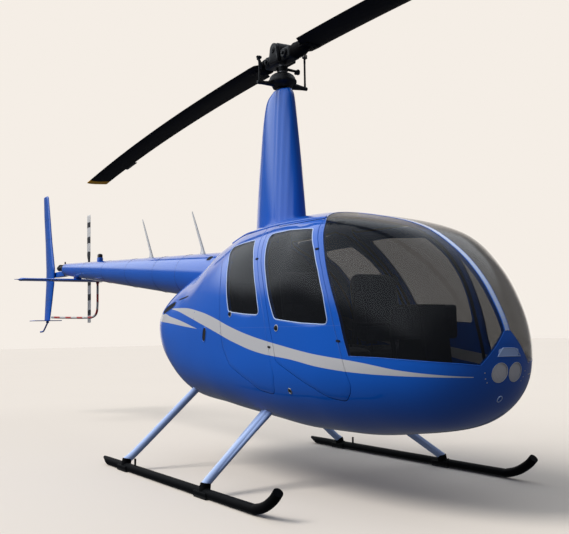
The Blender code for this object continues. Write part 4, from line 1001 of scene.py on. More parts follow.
def dress(node, name):
    """A solid of the model keeps its shape and takes a finish."""
    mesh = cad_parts[node].data
    for n in range(len(mesh.materials)):
        mesh.materials[n] = finish(name)
    if not mesh.materials:
        mesh.materials.append(finish(name))


# Cabin

SIDES = (("right", -1), ("left", 1))
DOORS = (
    ("front", FRONT_DOOR, FRONT_WINDOW, (1.03, 1.36)),
    ("rear", REAR_DOOR, REAR_WINDOW, (0.34, 1.38)),
)


def nose_x(y, z):
    """Where the skin's front stands at (y, z): halving along x."""
    low, high = np.full(np.shape(y), 0.9), np.full(np.shape(y), NOSE_X)
    for _ in range(40):
        middle = (low + high) / 2
        inside = skin_level(np.stack([middle, y, z], -1)) < 1
        low, high = np.where(inside, middle, low), np.where(inside, high, middle)
    return low


def on_nose(y, z):
    """Points of the front view laid on the nose's skin."""
    return joined(nose_x(y, z), y, z)


def roof_z(x, y):
    """Height of the upper skin over (x, y)."""
    _, wide, top, half, _, high_n = section(x)
    share = np.minimum(np.abs(y) / np.maximum(half, 1e-6), 1)
    return wide + (top - wide) * (1 - share ** high_n) ** (1 / high_n)


def shield_edges(rows=44, cols=52):
    """The port windshield's four edges: rear, nose panel, bow and foot."""
    rear = smooth_path(SHIELD_REAR, 60)
    rear = on_side(rear, 1)
    crown = np.array([[0.962, BOW_HALF, roof_z(0.962, BOW_HALF)], [0.963, 0.07, roof_z(0.963, 0.07)]])
    rear = np.concatenate([crown, rear])
    foot = smooth_path(SHIELD_FOOT, 60)
    foot = on_side(foot, 1)
    corner = np.array([[float(nose_x(np.array(NOSE_FOOT_HALF), np.array(NOSE_FOOT))), NOSE_FOOT_HALF,
                        NOSE_FOOT]])
    foot = np.concatenate([foot[foot[:, 0] < corner[0, 0] - 0.005], corner])
    t = np.linspace(0, 1, 40)
    y, z = BOW_HALF + (NOSE_FOOT_HALF - BOW_HALF) * t, NOSE_PEAK + (NOSE_FOOT - NOSE_PEAK) * t
    nose = on_nose(y, z)
    x = 0.962 + (nose[0, 0] - 0.962) * np.sin(np.linspace(0, np.pi / 2, 90))
    bow = joined(x, BOW_HALF, roof_z(x, BOW_HALF))
    bow[-1] = nose[0]
    return evenly(rear, rows), evenly(nose, rows), evenly(bow, cols), evenly(foot, cols)


def shield_grid(side):
    """The windshield half as a Coons patch of its four edges, each point moved onto the skin."""
    rear, nose, bow, foot = shield_edges()
    u = np.linspace(0, 1, len(rear))[:, None, None]
    v = np.linspace(0, 1, len(bow))[None, :, None]
    p = ((1 - v) * rear[:, None] + v * nose[:, None] + (1 - u) * bow[None] + u * foot[None]
         - ((1 - u) * (1 - v) * bow[0] + (1 - u) * v * bow[-1] + u * (1 - v) * foot[0] + u * v * foot[-1]))
    return onto_skin(p) * (1, side, 1)


def loop_on_side(loop, side, count=260):
    """A closed side-view loop as evenly parted points on the skin."""
    return evenly(on_side(np.vstack([loop, loop[:1]]), side), count + 1)[:-1]


def lip(width, height):
    """A low rounded strip's cross section, sunk a little into what it lies on."""
    a = np.linspace(0, np.pi, 7)
    top = np.stack([np.cos(a) * width / 2, np.sin(a) * height], 1)
    return np.concatenate([top, [[-width / 2, -0.0015], [width / 2, -0.0015]]])


def bead(path, width, height, closed=True):
    """A low rounded strip along a path on the skin."""
    return sweep(path, lip(width, height), closed, skin_normal(path))


def hull_walls(depth):
    """The hull's skin and its inside, as two closed meshes."""
    return [built("skin", (hull_grid(inset, lengths, count), False, True))
            for inset, lengths, count in ((0, 100, 112), (depth, 60, 72))]


def make_cabin():
    """Cabin and cowl carved out of the hull, then the beads, gutters and door seals on them."""
    outer, inner = hull_walls(WALL)
    behind = np.vstack([rounded(COWL_SEAM), (-1.9, 0.3), (-1.9, 2.0)])
    cutters = [inner, side_prism(grown(behind, 0.0004), -0.91, 0.91)]
    for _, side in SIDES:
        for _, outline, _, _ in DOORS:
            cutters.append(side_prism(doorway(outline), *sorted((side * 0.06, side * 0.9))))
        cutters.append(slab(shield_grid(side), 0.09, 0.03))
        y = side * LAMP_HALF
        cutters.append(built("lamp", rod((2.05, y, LAMP_Z), (2.4, y, LAMP_Z), LAMP_HOLE, round_edge=0.01,
                                         count=48)))
    shell = skin_shading(carved("cabin_shell", outer, cutters))
    piece("cabin_shell", shell, ["blue", "trim"], replaces=["cabin_frame"], smooth=None)

    outer, inner = hull_walls(COWL_WALL)
    boom = built("boom", rod(boom_point(-0.5), boom_point(-3.0), boom_radius(-0.5) + 0.0006,
                             boom_radius(-3.0) + 0.0006, 0.001, 64))
    shell = skin_shading(carved("cowl_shell", outer, [inner, boom], side_prism(behind, -0.9, 0.9)))
    # The cowl's inner faces take the near-black hollow finish: painted shade inside the cowl.
    piece("cowl_shell", shell, ["blue", "hollow"], replaces=["aft_cowl"], smooth=None)

    rims = []
    for _, side in SIDES:
        rear, nose, bow, foot = shield_edges()
        rim = np.concatenate([rear[:-1], foot[:-1], nose[::-1][:-1], bow[::-1][:-1]]) * (1, side, 1)
        rims.append(bead(onto_skin(rim), 0.006, 0.0014))
        rims.append(bead(on_side(smooth_path(GUTTER, 80), side), 0.020, 0.008, False))
    piece("cabin_beads", rims, "plain", smooth=50)
    seals = []
    for _, side in SIDES:
        for _, outline, _, _ in DOORS:
            path = loop_on_side(doorway(outline, 0.0013), side)
            inward = np.array((0, -side, 0)) / np.maximum(np.abs(skin_normal(path)[:, 1:2]), 0.3)
            path = path + inward * (WALL + 0.0062)
            seals.append(sweep(path, lip(0.026, 0.006), True, -inward))
    piece("door_seals", seals, "rubber", smooth=50)


def make_doors():
    """Each door's panel, glass and window bead, riding on the door's own body."""
    for side_name, side in SIDES:
        for door, outline, window, heart in DOORS:
            body = f"{door}_{side_name}_door"
            heart, window = np.array(heart), eased(window)
            panel = ring_panel(doorway(outline, 0.0026), grown(window, 0.0004), heart, side, roll=0.0028,
                               within=0.006)
            piece(f"{door}_door_panel_{side_name}", panel, "blue", body,
                  [f"{door}_door_{side_name}"])
            piece(f"{door}_door_glass_{side_name}", pane(window, heart, side), "glass", body,
                  [f"{door}_window_{side_name}"])
            edge = bead(loop_on_side(window, side), 0.007, 0.0018)
            # The bead's pale leg finish is a painted highlight along the window's edge.
            piece(f"{door}_window_bead_{side_name}", edge, "leg", body, smooth=60)


def make_windshield():
    """Both halves of the windshield, and the strip with its rivets between them."""
    for side_name, side in SIDES:
        grid = shield_grid(side)
        piece(f"windshield_pane_{side_name}", slab(grid - skin_normal(grid) * 0.0006, GLASS), "glass",
              replaces=[f"windshield_{side_name}"])
    run = evenly(shield_edges()[2], 44)
    across = np.linspace(-0.86, 0.86, 9)[None, :, None]
    strip = onto_skin(run[:, None] * (1, 0, 1) + run[:, None] * (0, 1, 0) * across)
    # The strip's pale leg finish is a painted highlight.
    piece("bow_strip", slab(strip, 0.0012, 0.0012), "leg", smooth=50)
    spots = onto_skin(np.concatenate([run * (1, 0.6, 1), run * (1, -0.6, 1)]))
    normal = skin_normal(spots)
    piece("bow_rivets", domes(spots + normal * 0.0011, normal, 0.0038, 0.0014), "grey", smooth=50)


# Boom, fairing and tail

BOOM_FRONT, BOOM_REAR, BOOM_SLOPE = -0.56, -5.56, 0.0841
BOOM_END = -5.31
TAIL_HUB = np.array((-5.655, 0.405, 1.943))
FIN_Y = -0.062
FIN_SEAT = -0.043


def boom_centre(x):
    """Height of the boom's middle line at x."""
    return 1.9145 - BOOM_SLOPE * (x - BOOM_REAR)


def boom_radius(x):
    """Radius of the boom's cone at x."""
    return 0.0735 + 0.0318 * (x - BOOM_REAR)


def boom_point(x):
    """A point of the boom's middle line."""
    return np.array((x, 0, boom_centre(x)))


def boom_ring(x, count):
    """Points round the boom at x and the directions out of it: centre + radius (0, cos a, sin a)."""
    a = np.arange(count) * 2 * np.pi / count
    out = joined(0 * a, np.cos(a), np.sin(a))
    return boom_point(x) + out * boom_radius(x), out


FAIRING = np.array((
    (1.78, 0.255, 0.415, 0.125), (2.10, 0.230, 0.385, 0.112), (2.45, 0.190, 0.335, 0.095),
    (2.77, 0.150, 0.275, 0.078), (2.89, 0.128, 0.222, 0.068), (2.936, 0.105, 0.118, 0.060),
))


def fairing_ring(height, grow=0.0, count=96):
    """A teardrop section: half an ellipse ahead, and one with straighter sides behind."""
    front, rear, half = [monotone(FAIRING[:, 0], FAIRING[:, k], np.array([height]))[0] + grow for k in (1,
                                                                                                        2,
                                                                                                        3)]
    a = np.arange(count) * 2 * np.pi / count
    c, s = np.cos(a), np.sin(a)
    x = np.where(c >= 0, front * c, rear * c)
    y = half * np.sign(s) * np.where(c >= 0, np.abs(s), np.abs(s) ** 1.35)
    y += np.sign(s) * np.where(c > 0, np.abs(s), 0) * 0.0022 * np.cos(2 * np.pi * x / 0.055)
    return joined(x, y, height)


def make_fairing():
    """The fairing round the mast, its foot on the roof, and the flange that holds it there."""
    heights = np.concatenate([np.linspace(1.80, 2.86, 26), np.linspace(2.87, 2.934, 8)])
    rows = [fairing_ring(h) for h in heights]
    rows[0] = np.stack([rows[0][:, 0], rows[0][:, 1], roof_z(rows[0][:, 0], rows[0][:, 1]) - 0.002], 1)
    for k in range(1, 5):
        low = roof_z(rows[k][:, 0], rows[k][:, 1])
        rows[k][:, 2] = np.maximum(rows[k][:, 2], low + 0.004 * k)
    top = fairing_ring(2.936, -0.0015)
    inner = [fairing_ring(h, -0.005) for h in (2.934, 2.8, 2.5, 2.2, 1.95)]
    last = inner[-1].copy()
    last[:, 2] = roof_z(last[:, 0], last[:, 1]) - 0.002
    grid = np.array([*rows, top, *inner, last])
    piece("mast_fairing_shell", (grid, True, True), "plain", replaces=["mast_fairing"])
    ring = rows[0] + (0, 0, 0.002)
    path = evenly(np.vstack([ring, ring[:1]]), 161)[:-1]
    piece("fairing_flange", bead(path, 0.030, 0.004), "plain", smooth=50)


def make_boom():
    """The boom's cone with its rings of rivets and its seams."""
    x = np.concatenate([[BOOM_FRONT], np.linspace(BOOM_FRONT, BOOM_END, 60), [BOOM_END]])
    a = np.arange(64) * 2 * np.pi / 64
    r = boom_radius(x)
    r[0] = r[-1] = 0
    tilt = math.atan(-BOOM_SLOPE)
    grid = np.stack([x[:, None] - r[:, None] * np.sin(a) * math.sin(tilt) * -1, r[:, None] * np.cos(a),
                     boom_centre(x)[:, None] + r[:, None] * np.sin(a)], -1)
    piece("boom_skin", (grid, False, True), "plain", replaces=["tail_boom"])
    spots, out = np.concatenate([boom_ring(at, 36) for at in (-1.62, -2.18, -2.96, -3.74, -4.50, -5.28)],
                                axis=1)
    piece("boom_rivets", domes(spots, out, 0.0032, 0.0012), "plain", smooth=50)
    seams = []
    for at in (-1.60, -2.16, -2.94, -3.72, -4.48):
        path, out = boom_ring(at, 64)
        seams.append(sweep(path, lip(0.003, 0.0006), True, out))
    piece("boom_seams", seams, "rubber", smooth=60)


def blade_antenna(name, base_front, base_rear, tip_front, tip_z, node):
    """A swept blade antenna: aerofoils that shrink and lean aft from the boom to the tip."""
    base_z = boom_centre(base_front) + boom_radius(base_front) - 0.004
    t = np.array([0, 0, 0.02, 0.05, 0.08, 0.15, 0.4, 0.7, 0.92, 1, 1.0])
    front = base_front + (tip_front - base_front) * t
    share = np.interp(t, (0, 0.02, 0.12, 0.6, 1), (1, 1, 0.45, 0.36, 0.28))
    chord = (base_front - base_rear) * share * np.array([0, 1, 1, 1, 1, 1, 1, 1, 0.95, 0.7, 0])
    thick = 0.026 * (1 - 0.6 * t) * np.array([0, 1.5, 1.5, 1.1, 1, 1, 1, 1, 0.9, 0.5, 0])
    rows = []
    for k in range(len(t)):
        foil = aerofoil(max(chord[k], 1e-5), max(thick[k], 1e-5), 0, 10)
        rows.append(joined(front[k] + foil[:, 0], foil[:, 1], base_z + (tip_z - base_z) * t[k]))
    piece(name, (np.array(rows), False, True), "grey", replaces=[node])


def antenna_feet():
    """Screw heads round the feet of the two antennas and the beacon."""
    spots = []
    for x, half in ((-1.42, 0.03), (-2.60, 0.03)):
        for d in (-0.038, 0.0, 0.038):
            spots += [(x + d, -half * 0.75), (x + d, half * 0.75)]
    x, y = np.array(spots).T
    r = boom_radius(x)
    up = np.sqrt(np.maximum(r * r - y * y, 0))
    normal = np.stack([0 * x, y / r, up / r], 1)
    return domes(np.stack([x, y, boom_centre(x) + up], 1), normal, 0.0035, 0.0012)


FIN = np.array((
    (1.247, -5.880, -6.130, 0.030), (1.50, -5.785, -6.095, 0.038), (1.74, -5.705, -6.058, 0.044),
    (1.93, -5.680, -6.055, 0.048), (2.31, -5.805, -6.100, 0.040), (2.70, -5.900, -6.165, 0.032),
    (2.935, -5.965, -6.185, 0.024), (2.958, -5.995, -6.180, 0.016),
))


def fin_at(height):
    """Leading edge, trailing edge and thickness of the fin at a height."""
    return [float(np.interp(height, FIN[:, 0], FIN[:, j])) for j in (1, 2, 3)]


def make_tail():
    """Fin, stabiliser, bracket, tail gearbox, end plate, skid bar, guard, antennas and beacon."""
    heights = np.concatenate([[1.247], np.linspace(1.247, 2.935, 60), [2.950, 2.958, 2.958]])
    rows = []
    for k, h in enumerate(heights):
        lead, trail, thick = fin_at(h)
        if k in (0, len(heights) - 1):
            lead = trail = (lead + trail) / 2
            thick = 0
        foil = aerofoil(max(lead - trail, 1e-5), max(thick * 0.95, 1e-6), 0, 14)
        y = FIN_Y + foil[:, 1]
        if 1.80 < h < 1.905:
            y = np.minimum(y, FIN_SEAT - 0.0003)
        rows.append(joined(lead + foil[:, 0], y, h))
    piece("fin_skin", (np.array(rows), False, True), "plain", replaces=["vertical_fin"],
          smooth=30)
    seams = []
    for h in (1.52, 2.345, 2.62):
        lead, trail, thick = fin_at(h)
        foil = aerofoil(lead - trail, thick * 0.95, 0, 14)
        path = joined(lead + foil[:, 0], FIN_Y + foil[:, 1], h)
        out = joined(0.3, np.where(np.arange(28) <= 14, 1.0, -1.0), 0.0)
        seams.append(sweep(path[1:-1], lip(0.003, 0.0008), False, out[1:-1]))
    piece("fin_seams", seams, "rubber", smooth=60)

    y = np.concatenate([[-0.775, -0.775], np.linspace(-0.73, -0.70, 3), np.linspace(-0.67, 0.30, 14),
                        [0.33, 0.33]])
    scale = np.concatenate([[0, 0.10], [0.22, 0.5, 0.86], np.ones(14), [0.86, 0]])
    foil = np.stack([np.cos(np.arange(32) * np.pi / 16) * 0.13,
                     np.sin(np.arange(32) * np.pi / 16) * 0.0195], 1)
    rows = [joined(-4.975 + foil[:, 0] * k, b, 1.735 + foil[:, 1] * min(1, k * 1.3)) for b,
            k in zip(y, scale)]
    grids = [(np.array(rows), False, True), brick((-5.03, -0.019, 1.74), (-4.93, 0.059, 1.792), 0.010)]
    piece("stabiliser_skin", grids, "plain", replaces=["stabiliser"], smooth=50)

    grids = [brick((-5.980, FIN_SEAT + 0.0004, 1.815), (-5.3427, 0.045, 1.885), 0.008)]
    for x in (-5.95, -5.90, -5.85):
        for z in (1.830, 1.870):
            grids.append(rod((x, 0.044, z), (x, 0.0455, z), 0.006, count=6))
    piece("fin_bracket_skin", grids, "plain", replaces=["fin_bracket"], smooth=40)

    x, _, z = TAIL_HUB
    ends = BOOM_END - 0.0006, BOOM_END - 0.025
    quill = revolve(((0, 0), (0.040, 0), (0.041, 0.30), (0.034, 0.34), (0.028, 0.40), (0.026, 0.60),
                     (0.028, 0.80),
                     (0.035, 0.84), (0.036, 0.95), (0.030, 1.0), (0, 1)), (-5.33, 0, 1.932),
                    (-5.682, 0, 1.934), 36)
    grids = [rod((ends[0], 0, boom_centre(ends[0])), (ends[1], 0, boom_centre(ends[1])), 0.0792, None, 0.04,
                 48),
             quill, brick((-5.43, -0.029, 1.8855), (-5.333, 0.029, 1.925), 0.006),
             rod((-5.425, 0, 1.94), (-5.425, 0, 2.0055), 0.0095, None, 0.2, 6),
             revolve(((0, 0), (0.034, 0), (0.042, 0.05), (0.042, 0.16), (0.038, 0.24), (0.042, 0.26),
                      (0.042, 0.32), (0.036, 0.36), (0.034, 0.80), (0.031, 0.84), (0.031, 1), (0, 1)),
                     (x, -0.012, z), (x, 0.245, z), 36)]
    for a in np.arange(6) * np.pi / 3:
        c, d = 0.038 * math.cos(a), 0.038 * math.sin(a)
        grids.append(rod((x + c, 0.064, z + d), (x + c, 0.074, z + d), 0.004, count=6))
    piece("tail_gear_case", grids, "black", replaces=["tail_gearbox"], smooth=40)

    piece("end_plate", brick((-6.135, -0.266, 1.2367), (-5.875, 0.103, 1.2467), 0.0035), "plain",
          replaces=["fin_end_plate"])
    bar = ((-5.985, 1.236), (-5.990, 1.215), (-6.057, 1.170), (-6.126, 1.127), (-6.195, 1.098),
           (-6.308, 1.092))
    path = smooth_path([(x, FIN_Y, z) for x, z in bar], 40)
    grids = [sweep(path, circle(0.011, 14)), rod((-5.985, FIN_Y, 1.21), (-5.985, FIN_Y, 1.2364), 0.020)]
    piece("tail_skid_bar", grids, "plain", replaces=["tail_skid"])

    path = smooth_path([(-4.985, 0.285, 1.7180), (-4.985, 0.285, 1.60), (-4.99, 0.285, 1.42),
                        (-5.02, 0.282, 1.32),
                        (-5.11, 0.262, 1.272), (-5.26, 0.215, 1.266), (-5.60, 0.075, 1.275),
                        (-5.866, FIN_Y + 0.023, 1.285)], 120)
    grids = [sweep(path, circle(0.0145, 16)), rod((-4.985, 0.285, 1.7155), (-4.985, 0.285, 1.700), 0.022)]
    piece("tail_guard_tube", grids, "guard", replaces=["tail_guard"])

    blade_antenna("antenna_blade_fore", -1.369, -1.47, -1.62, 2.189, "antenna_fore")
    blade_antenna("antenna_blade_aft", -2.549, -2.653, -2.81, 2.255, "antenna_aft")

    top = boom_centre(-4.11) + boom_radius(-4.11)
    base = revolve(((0, 0), (0.036, 0), (0.036, 0.044), (0.032, 0.050), (0.0, 0.050)),
                   (-4.11, 0, top - 0.008),
                   (-4.11, 0, top + 0.992), 40)
    piece("beacon_base", base, "plain")
    lens = revolve(((0, 0.042), (0.031, 0.042), (0.031, 0.074), (0.029, 0.080), (0.022, 0.0865),
                    (0.010, 0.0895),
                    (0, 0.090)), (-4.11, 0, top), (-4.11, 0, top + 1), 40)
    piece("beacon_lens", lens, "beacon", replaces=["beacon"])
    piece("antenna_screws", antenna_feet(), "steel", smooth=50)


def make_tail_rotor():
    """The tail rotor's hub and its two banded blades."""
    hub = TAIL_HUB
    body = "tail_rotor"
    grids = [rod(hub + (0, -0.1596, 0), hub + (0, 0.055, 0), 0.020, count=24),
             brick(hub + (-0.038, -0.024, -0.075), hub + (0.038, 0.024, 0.075), 0.010),
             rod(hub + (0, -0.09, 0), hub + (0, -0.066, 0), 0.044, None, 0.1, 32),
             rod(hub + (0, 0.024, 0), hub + (0, 0.055, 0), 0.012, None, 0.2, 6)]
    for k in (-1, 1):
        grids.append(rod(hub + (0.042 * k, -0.078, 0.0), hub + (0.042 * k, -0.012, 0.075 * k), 0.005,
                         count=10))
        grids.append(rod(hub + (-0.046, 0, 0.05 * k), hub + (0.046, 0, 0.05 * k), 0.008, count=12))
    piece("tail_rotor_head", grids, "black", body, ["tail_rotor_hub"])
    for name, k in (("upper", 1), ("lower", -1)):
        r = np.concatenate([[0.0753, 0.0753, 0.10, 0.14, 0.18], np.linspace(0.22, 0.72, 16),
                            [0.733, 0.7366, 0.7366]])
        grow = np.concatenate([[0, 0.42, 0.55, 0.82, 1.0], np.ones(16), [0.97, 0.88, 0]])
        thick = np.concatenate([[0, 0.026, 0.022, 0.016, 0.014], np.full(16, 0.0135), [0.011, 0.005, 0]])
        rows = []
        for j in range(len(r)):
            foil = aerofoil(max(0.13 * grow[j], 1e-5), max(thick[j], 1e-6), 0.4, 14)
            rows.append(joined(hub[0] + k * foil[:, 0], hub[1] + foil[:, 1], hub[2] + k * r[j]))
        piece(f"tail_blade_skin_{name}", (np.array(rows), False, True), "tail_blade", body,
              [f"tail_blade_{name}"], 40)


# Main rotor

RADIUS, ROOT, HUB_Z, DROOP = 5.03, 0.27, 3.198, 0.252
CHORD, LEAD = 0.26, 0.112
LINK_Y, LINK_LOW = 0.205, 2.98
LINK_HIGH = {1: 3.235, -1: 3.18}
ROTOR_PLACE = PLACE @ Matrix.Rotation(math.radians(-3.06), 4, "Z")
TEETER = (Matrix.Translation((0, 0, HUB_Z)) @ Matrix.Rotation(math.radians(0.71), 4, "Y")
          @ Matrix.Translation((0, 0, -HUB_Z)))


def blade_grid():
    """A blade along +x: aerofoils on a line that droops with the square of the radius, its ends closed."""
    r = np.concatenate([[ROOT, ROOT, 0.274, 0.30, 0.34, 0.38, 0.42, 0.445, 0.475],
                        np.linspace(0.52, 4.99, 60),
                        [5.015, 5.027, RADIUS, RADIUS]])
    lead = np.interp(r, (0.27, 0.30, 0.38), (LEAD * 0.8, LEAD * 0.95, LEAD))
    trail = np.interp(r, (0.27, 0.38, 0.475), (-0.030, -0.060, LEAD - CHORD))
    thick = np.interp(r, (0.27, 0.30, 0.5), (0.026, 0.033, 0.030))
    thick[0] = thick[-1] = 0
    thick[-4:-1] = (0.026, 0.018, 0.006)
    rows = []
    for k in range(len(r)):
        a, b = (lead[k], trail[k]) if thick[k] else ((lead[k] + trail[k]) / 2 + 5e-6,
                                                     (lead[k] + trail[k]) / 2)
        foil = aerofoil(a - b, max(thick[k], 1e-6), 0, 18)
        height = HUB_Z - DROOP * (r[k] / RADIUS) ** 2
        rows.append(joined(r[k], a + foil[:, 0], height + foil[:, 1]))
    return np.array(rows), False, True


def teetered(name, grids, spin=(1, 1, 1)):
    """One mesh of the grids, turned to their blade by the signs of spin and tilted with the teeter."""
    mesh = built(name, [(points * spin, rows, columns) for points, rows, columns in grids])
    mesh.transform(TEETER)
    return mesh


def rotor_piece(name, shape, coat="black", replaces=(), smooth=38):
    """A piece that turns with the main rotor and stands at its angle in the photograph."""
    return piece(name, shape, coat, "main_rotor", replaces, smooth, ROTOR_PLACE)


def make_blades():
    """Both main blades, each with its grip, pitch horn and trim tab."""
    boot = revolve(((0.012, 0), (0.040, 0), (0.058, 0.08), (0.061, 0.22), (0.056, 0.30), (0.060, 0.38),
                    (0.055, 0.46), (0.058, 0.54), (0.050, 0.66), (0.044, 0.80), (0.032, 0.92), (0.012, 1.0)),
                   (0.203, 0, HUB_Z), (0.41, 0, HUB_Z - 0.002), 36, True)
    grip = [boot, rod((0.232, 0, HUB_Z), (0.246, 0, HUB_Z), 0.0625, None, 0.12, 36),
            brick((0.33, -0.050, HUB_Z - 0.021), (0.47, 0.075, HUB_Z + 0.021), 0.010)]
    for x in (0.35, 0.40, 0.445):
        for y in (-0.028, 0.012, 0.052):
            grip.append(rod((x, y, HUB_Z - 0.025), (x, y, HUB_Z + 0.025), 0.0065, count=6))
    for name, turn in (("fore", 1), ("aft", -1)):
        spin = np.array((turn, turn, 1.0))
        high = LINK_HIGH[turn]
        rotor_piece(f"main_blade_skin_{name}", teetered("blade", [blade_grid()], spin), "blade",
                    [f"main_blade_{name}"], 40)
        rotor_piece(f"blade_grip_{name}", teetered("grip", grip, spin), "blade")
        arm = [rod((0.27, 0.04, HUB_Z - 0.004), (0.03, LINK_Y - 0.010, high), 0.015, 0.011, 0.2, 16),
               rod((0.045, LINK_Y - 0.012, high), (-0.010, LINK_Y, high), 0.0120, None, 0.3, 16),
               rod((0, LINK_Y - 0.018, high), (0, LINK_Y + 0.018, high), 0.0118, None, 0.2, 16),
               rod((0, LINK_Y + 0.016, high), (0, LINK_Y + 0.024, high), 0.0075, None, 0.2, 6)]
        rotor_piece(f"pitch_horn_{name}", [(points * spin, rows, columns) for points, rows, columns in arm])
        x = np.linspace(3.9, 4.25, 6)
        z = HUB_Z - DROOP * (x / RADIUS) ** 2
        edge = LEAD - CHORD
        tab = np.stack([joined(x, edge + b, z + c) for b, c in
                        ((0.008, 0.0020), (-0.028, -0.001), (-0.028, -0.0022), (0.008, -0.0020))], 1)
        rotor_piece(f"trim_tab_{name}", teetered("tab", [(capped(tab), False, True)], spin))


def cheek(y, thick):
    """A side plate of the hub: straight sides under a half-round top, carried across by its thickness."""
    a = np.linspace(0, np.pi, 25)
    top = HUB_Z + 0.057
    outline = np.concatenate([np.stack([0.055 * np.cos(a), top + 0.055 * np.sin(a)], 1),
                              [(-0.075, HUB_Z - 0.02), (-0.07, HUB_Z - 0.045), (0.07, HUB_Z - 0.045),
                               (0.075, HUB_Z - 0.02)]])
    middle = outline.mean(0)
    rings = []
    for at, size in ((0, 0.0), (0, 0.95), (0.12, 1.0), (0.88, 1.0), (1, 0.95), (1, 0.0)):
        flat = middle + (outline - middle) * size
        rings.append(joined(flat[:, 0], y + thick * at, flat[:, 1]))
    return np.array(rings), False, True


def make_rotor_head():
    """Hub, swashplate, scissor arms, pitch links and the mast's tube."""
    head = [brick((-0.20, -0.053, HUB_Z - 0.05), (0.20, 0.053, HUB_Z + 0.05), 0.018),
            cheek(0.054, 0.030), cheek(-0.084, 0.030),
            rod((0, -0.092, HUB_Z + 0.057), (0, 0.092, HUB_Z + 0.057), 0.026, None, 0.2, 32),
            rod((0, -0.096, HUB_Z + 0.057), (0, 0.096, HUB_Z + 0.057), 0.014, None, 0.2, 6),
            rod((0, -0.056, HUB_Z + 0.055), (0, 0.056, HUB_Z + 0.055), 0.062, None, 0.1, 36)]
    for x in (-0.135, 0.135):
        head.append(rod((x, -0.072, HUB_Z), (x, 0.072, HUB_Z), 0.036, None, 0.15, 28))
        head.append(rod((x, -0.084, HUB_Z), (x, 0.084, HUB_Z), 0.014, None, 0.2, 6))
    rotor_piece("rotor_head", teetered("head", head), replaces=["rotor_hub"])

    dress("rotor_shaft", "steel")
    plate = [revolve(((0.0305, 0), (0.076, 0), (0.082, 0.10), (0.094, 0.24), (0.108, 0.30), (0.112, 0.35),
                      (0.112, 0.46), (0.104, 0.54), (0.099, 0.66), (0.088, 0.78), (0.070, 0.88),
                      (0.048, 0.94),
                      (0.046, 0.97), (0.0305, 1.0)), (0, 0, 2.957), (0, 0, 3.085), 48, True),
             rod((0, 0.06, LINK_LOW + 0.008), (0, LINK_Y + 0.014, LINK_LOW), 0.032, 0.0128, 0.2, 20),
             rod((0, -0.06, LINK_LOW + 0.004), (0, -LINK_Y - 0.014, LINK_LOW), 0.022, 0.0128, 0.2, 20),
             rod((0, 0.150, LINK_LOW), (0, LINK_Y + 0.020, LINK_LOW), 0.0150, None, 0.3, 20),
             rod((0, -0.190, LINK_LOW), (0, -LINK_Y - 0.020, LINK_LOW), 0.0150, None, 0.3, 20)]
    rotor_piece("swashplate_upper", plate, replaces=["swashplate"])
    scissor = [revolve(((0.0305, 0), (0.044, 0), (0.044, 1), (0.0305, 1)), (0, 0, 3.095), (0, 0, 3.128), 32,
                       True),
               rod((0.0, 0.036, 3.116), (0.0, 0.142, 3.110), 0.012, 0.010, 0.2, 14),
               rod((0.0, 0.140, 3.085), (0.0, 0.144, 3.128), 0.0170, None, 0.5, 20),
               rod((0.0, 0.112, 3.092), (0.0, 0.142, 3.100), 0.011, 0.014, 0.3, 14),
               rod((0.0, -0.036, 3.112), (0.0, -0.062, 3.106), 0.014, 0.012, 0.2, 14)]
    rotor_piece("scissor_arms", scissor)
    for n, side in enumerate((-1, 1)):
        y, high = side * LINK_Y, LINK_HIGH[side]
        link = [rod((0, y, LINK_LOW + 0.03), (0, y, high - 0.03), 0.0080, None, 0.1, 16),
                rod((0, y, LINK_LOW + 0.014), (0, y, LINK_LOW + 0.045), 0.0098, None, 0.2, 6),
                rod((0, y, high - 0.050), (0, y, high - 0.0135), 0.0098, None, 0.2, 6)]
        rotor_piece(f"pitch_link_rod_{n + 1}", link, replaces=[f"pitch_link_{n + 1}"])
    tube = revolve(((0.0312, 0), (0.046, 0), (0.046, 0.97), (0.054, 0.975), (0.054, 1), (0.0312, 1)),
                   (0, 0, 1.60), (0, 0, 2.9495), 40, True)
    piece("mast_tube_skin", tube, "black", replaces=["mast_tube"])


# Landing gear

FRONT_LEG = ((0.600, 1.02, 0.075), (0.5712, 0.92, 0.15), (0.456, 0.45, 0.495), (0.456, 0.33, 0.505),
             (0.456, 0, 0.505))
REAR_LEG = ((-0.735, 1.02, 0.075), (-0.732, 0.92, 0.15), (-0.72, 0.45, 0.565), (-0.72, 0.33, 0.62),
            (-0.72, 0, 0.62))
SKID_Y = 1.02
FEET_X = (0.600, -0.735)
SKID_PATH = ((-1.19, 0.032), (-0.4, 0.032), (0.4, 0.032), (1.16, 0.032), (1.26, 0.038), (1.36, 0.068),
             (1.45, 0.120),
             (1.4995, 0.166))


def leg_path(leg, side, into):
    """A leg from its foot to the belly, carried straight on into the hull by a share of its length."""
    low = np.array(leg[:3])
    return smooth_path(np.vstack([low, low[2] + (low[2] - low[1]) * into]) * (1, side, 1), 90)


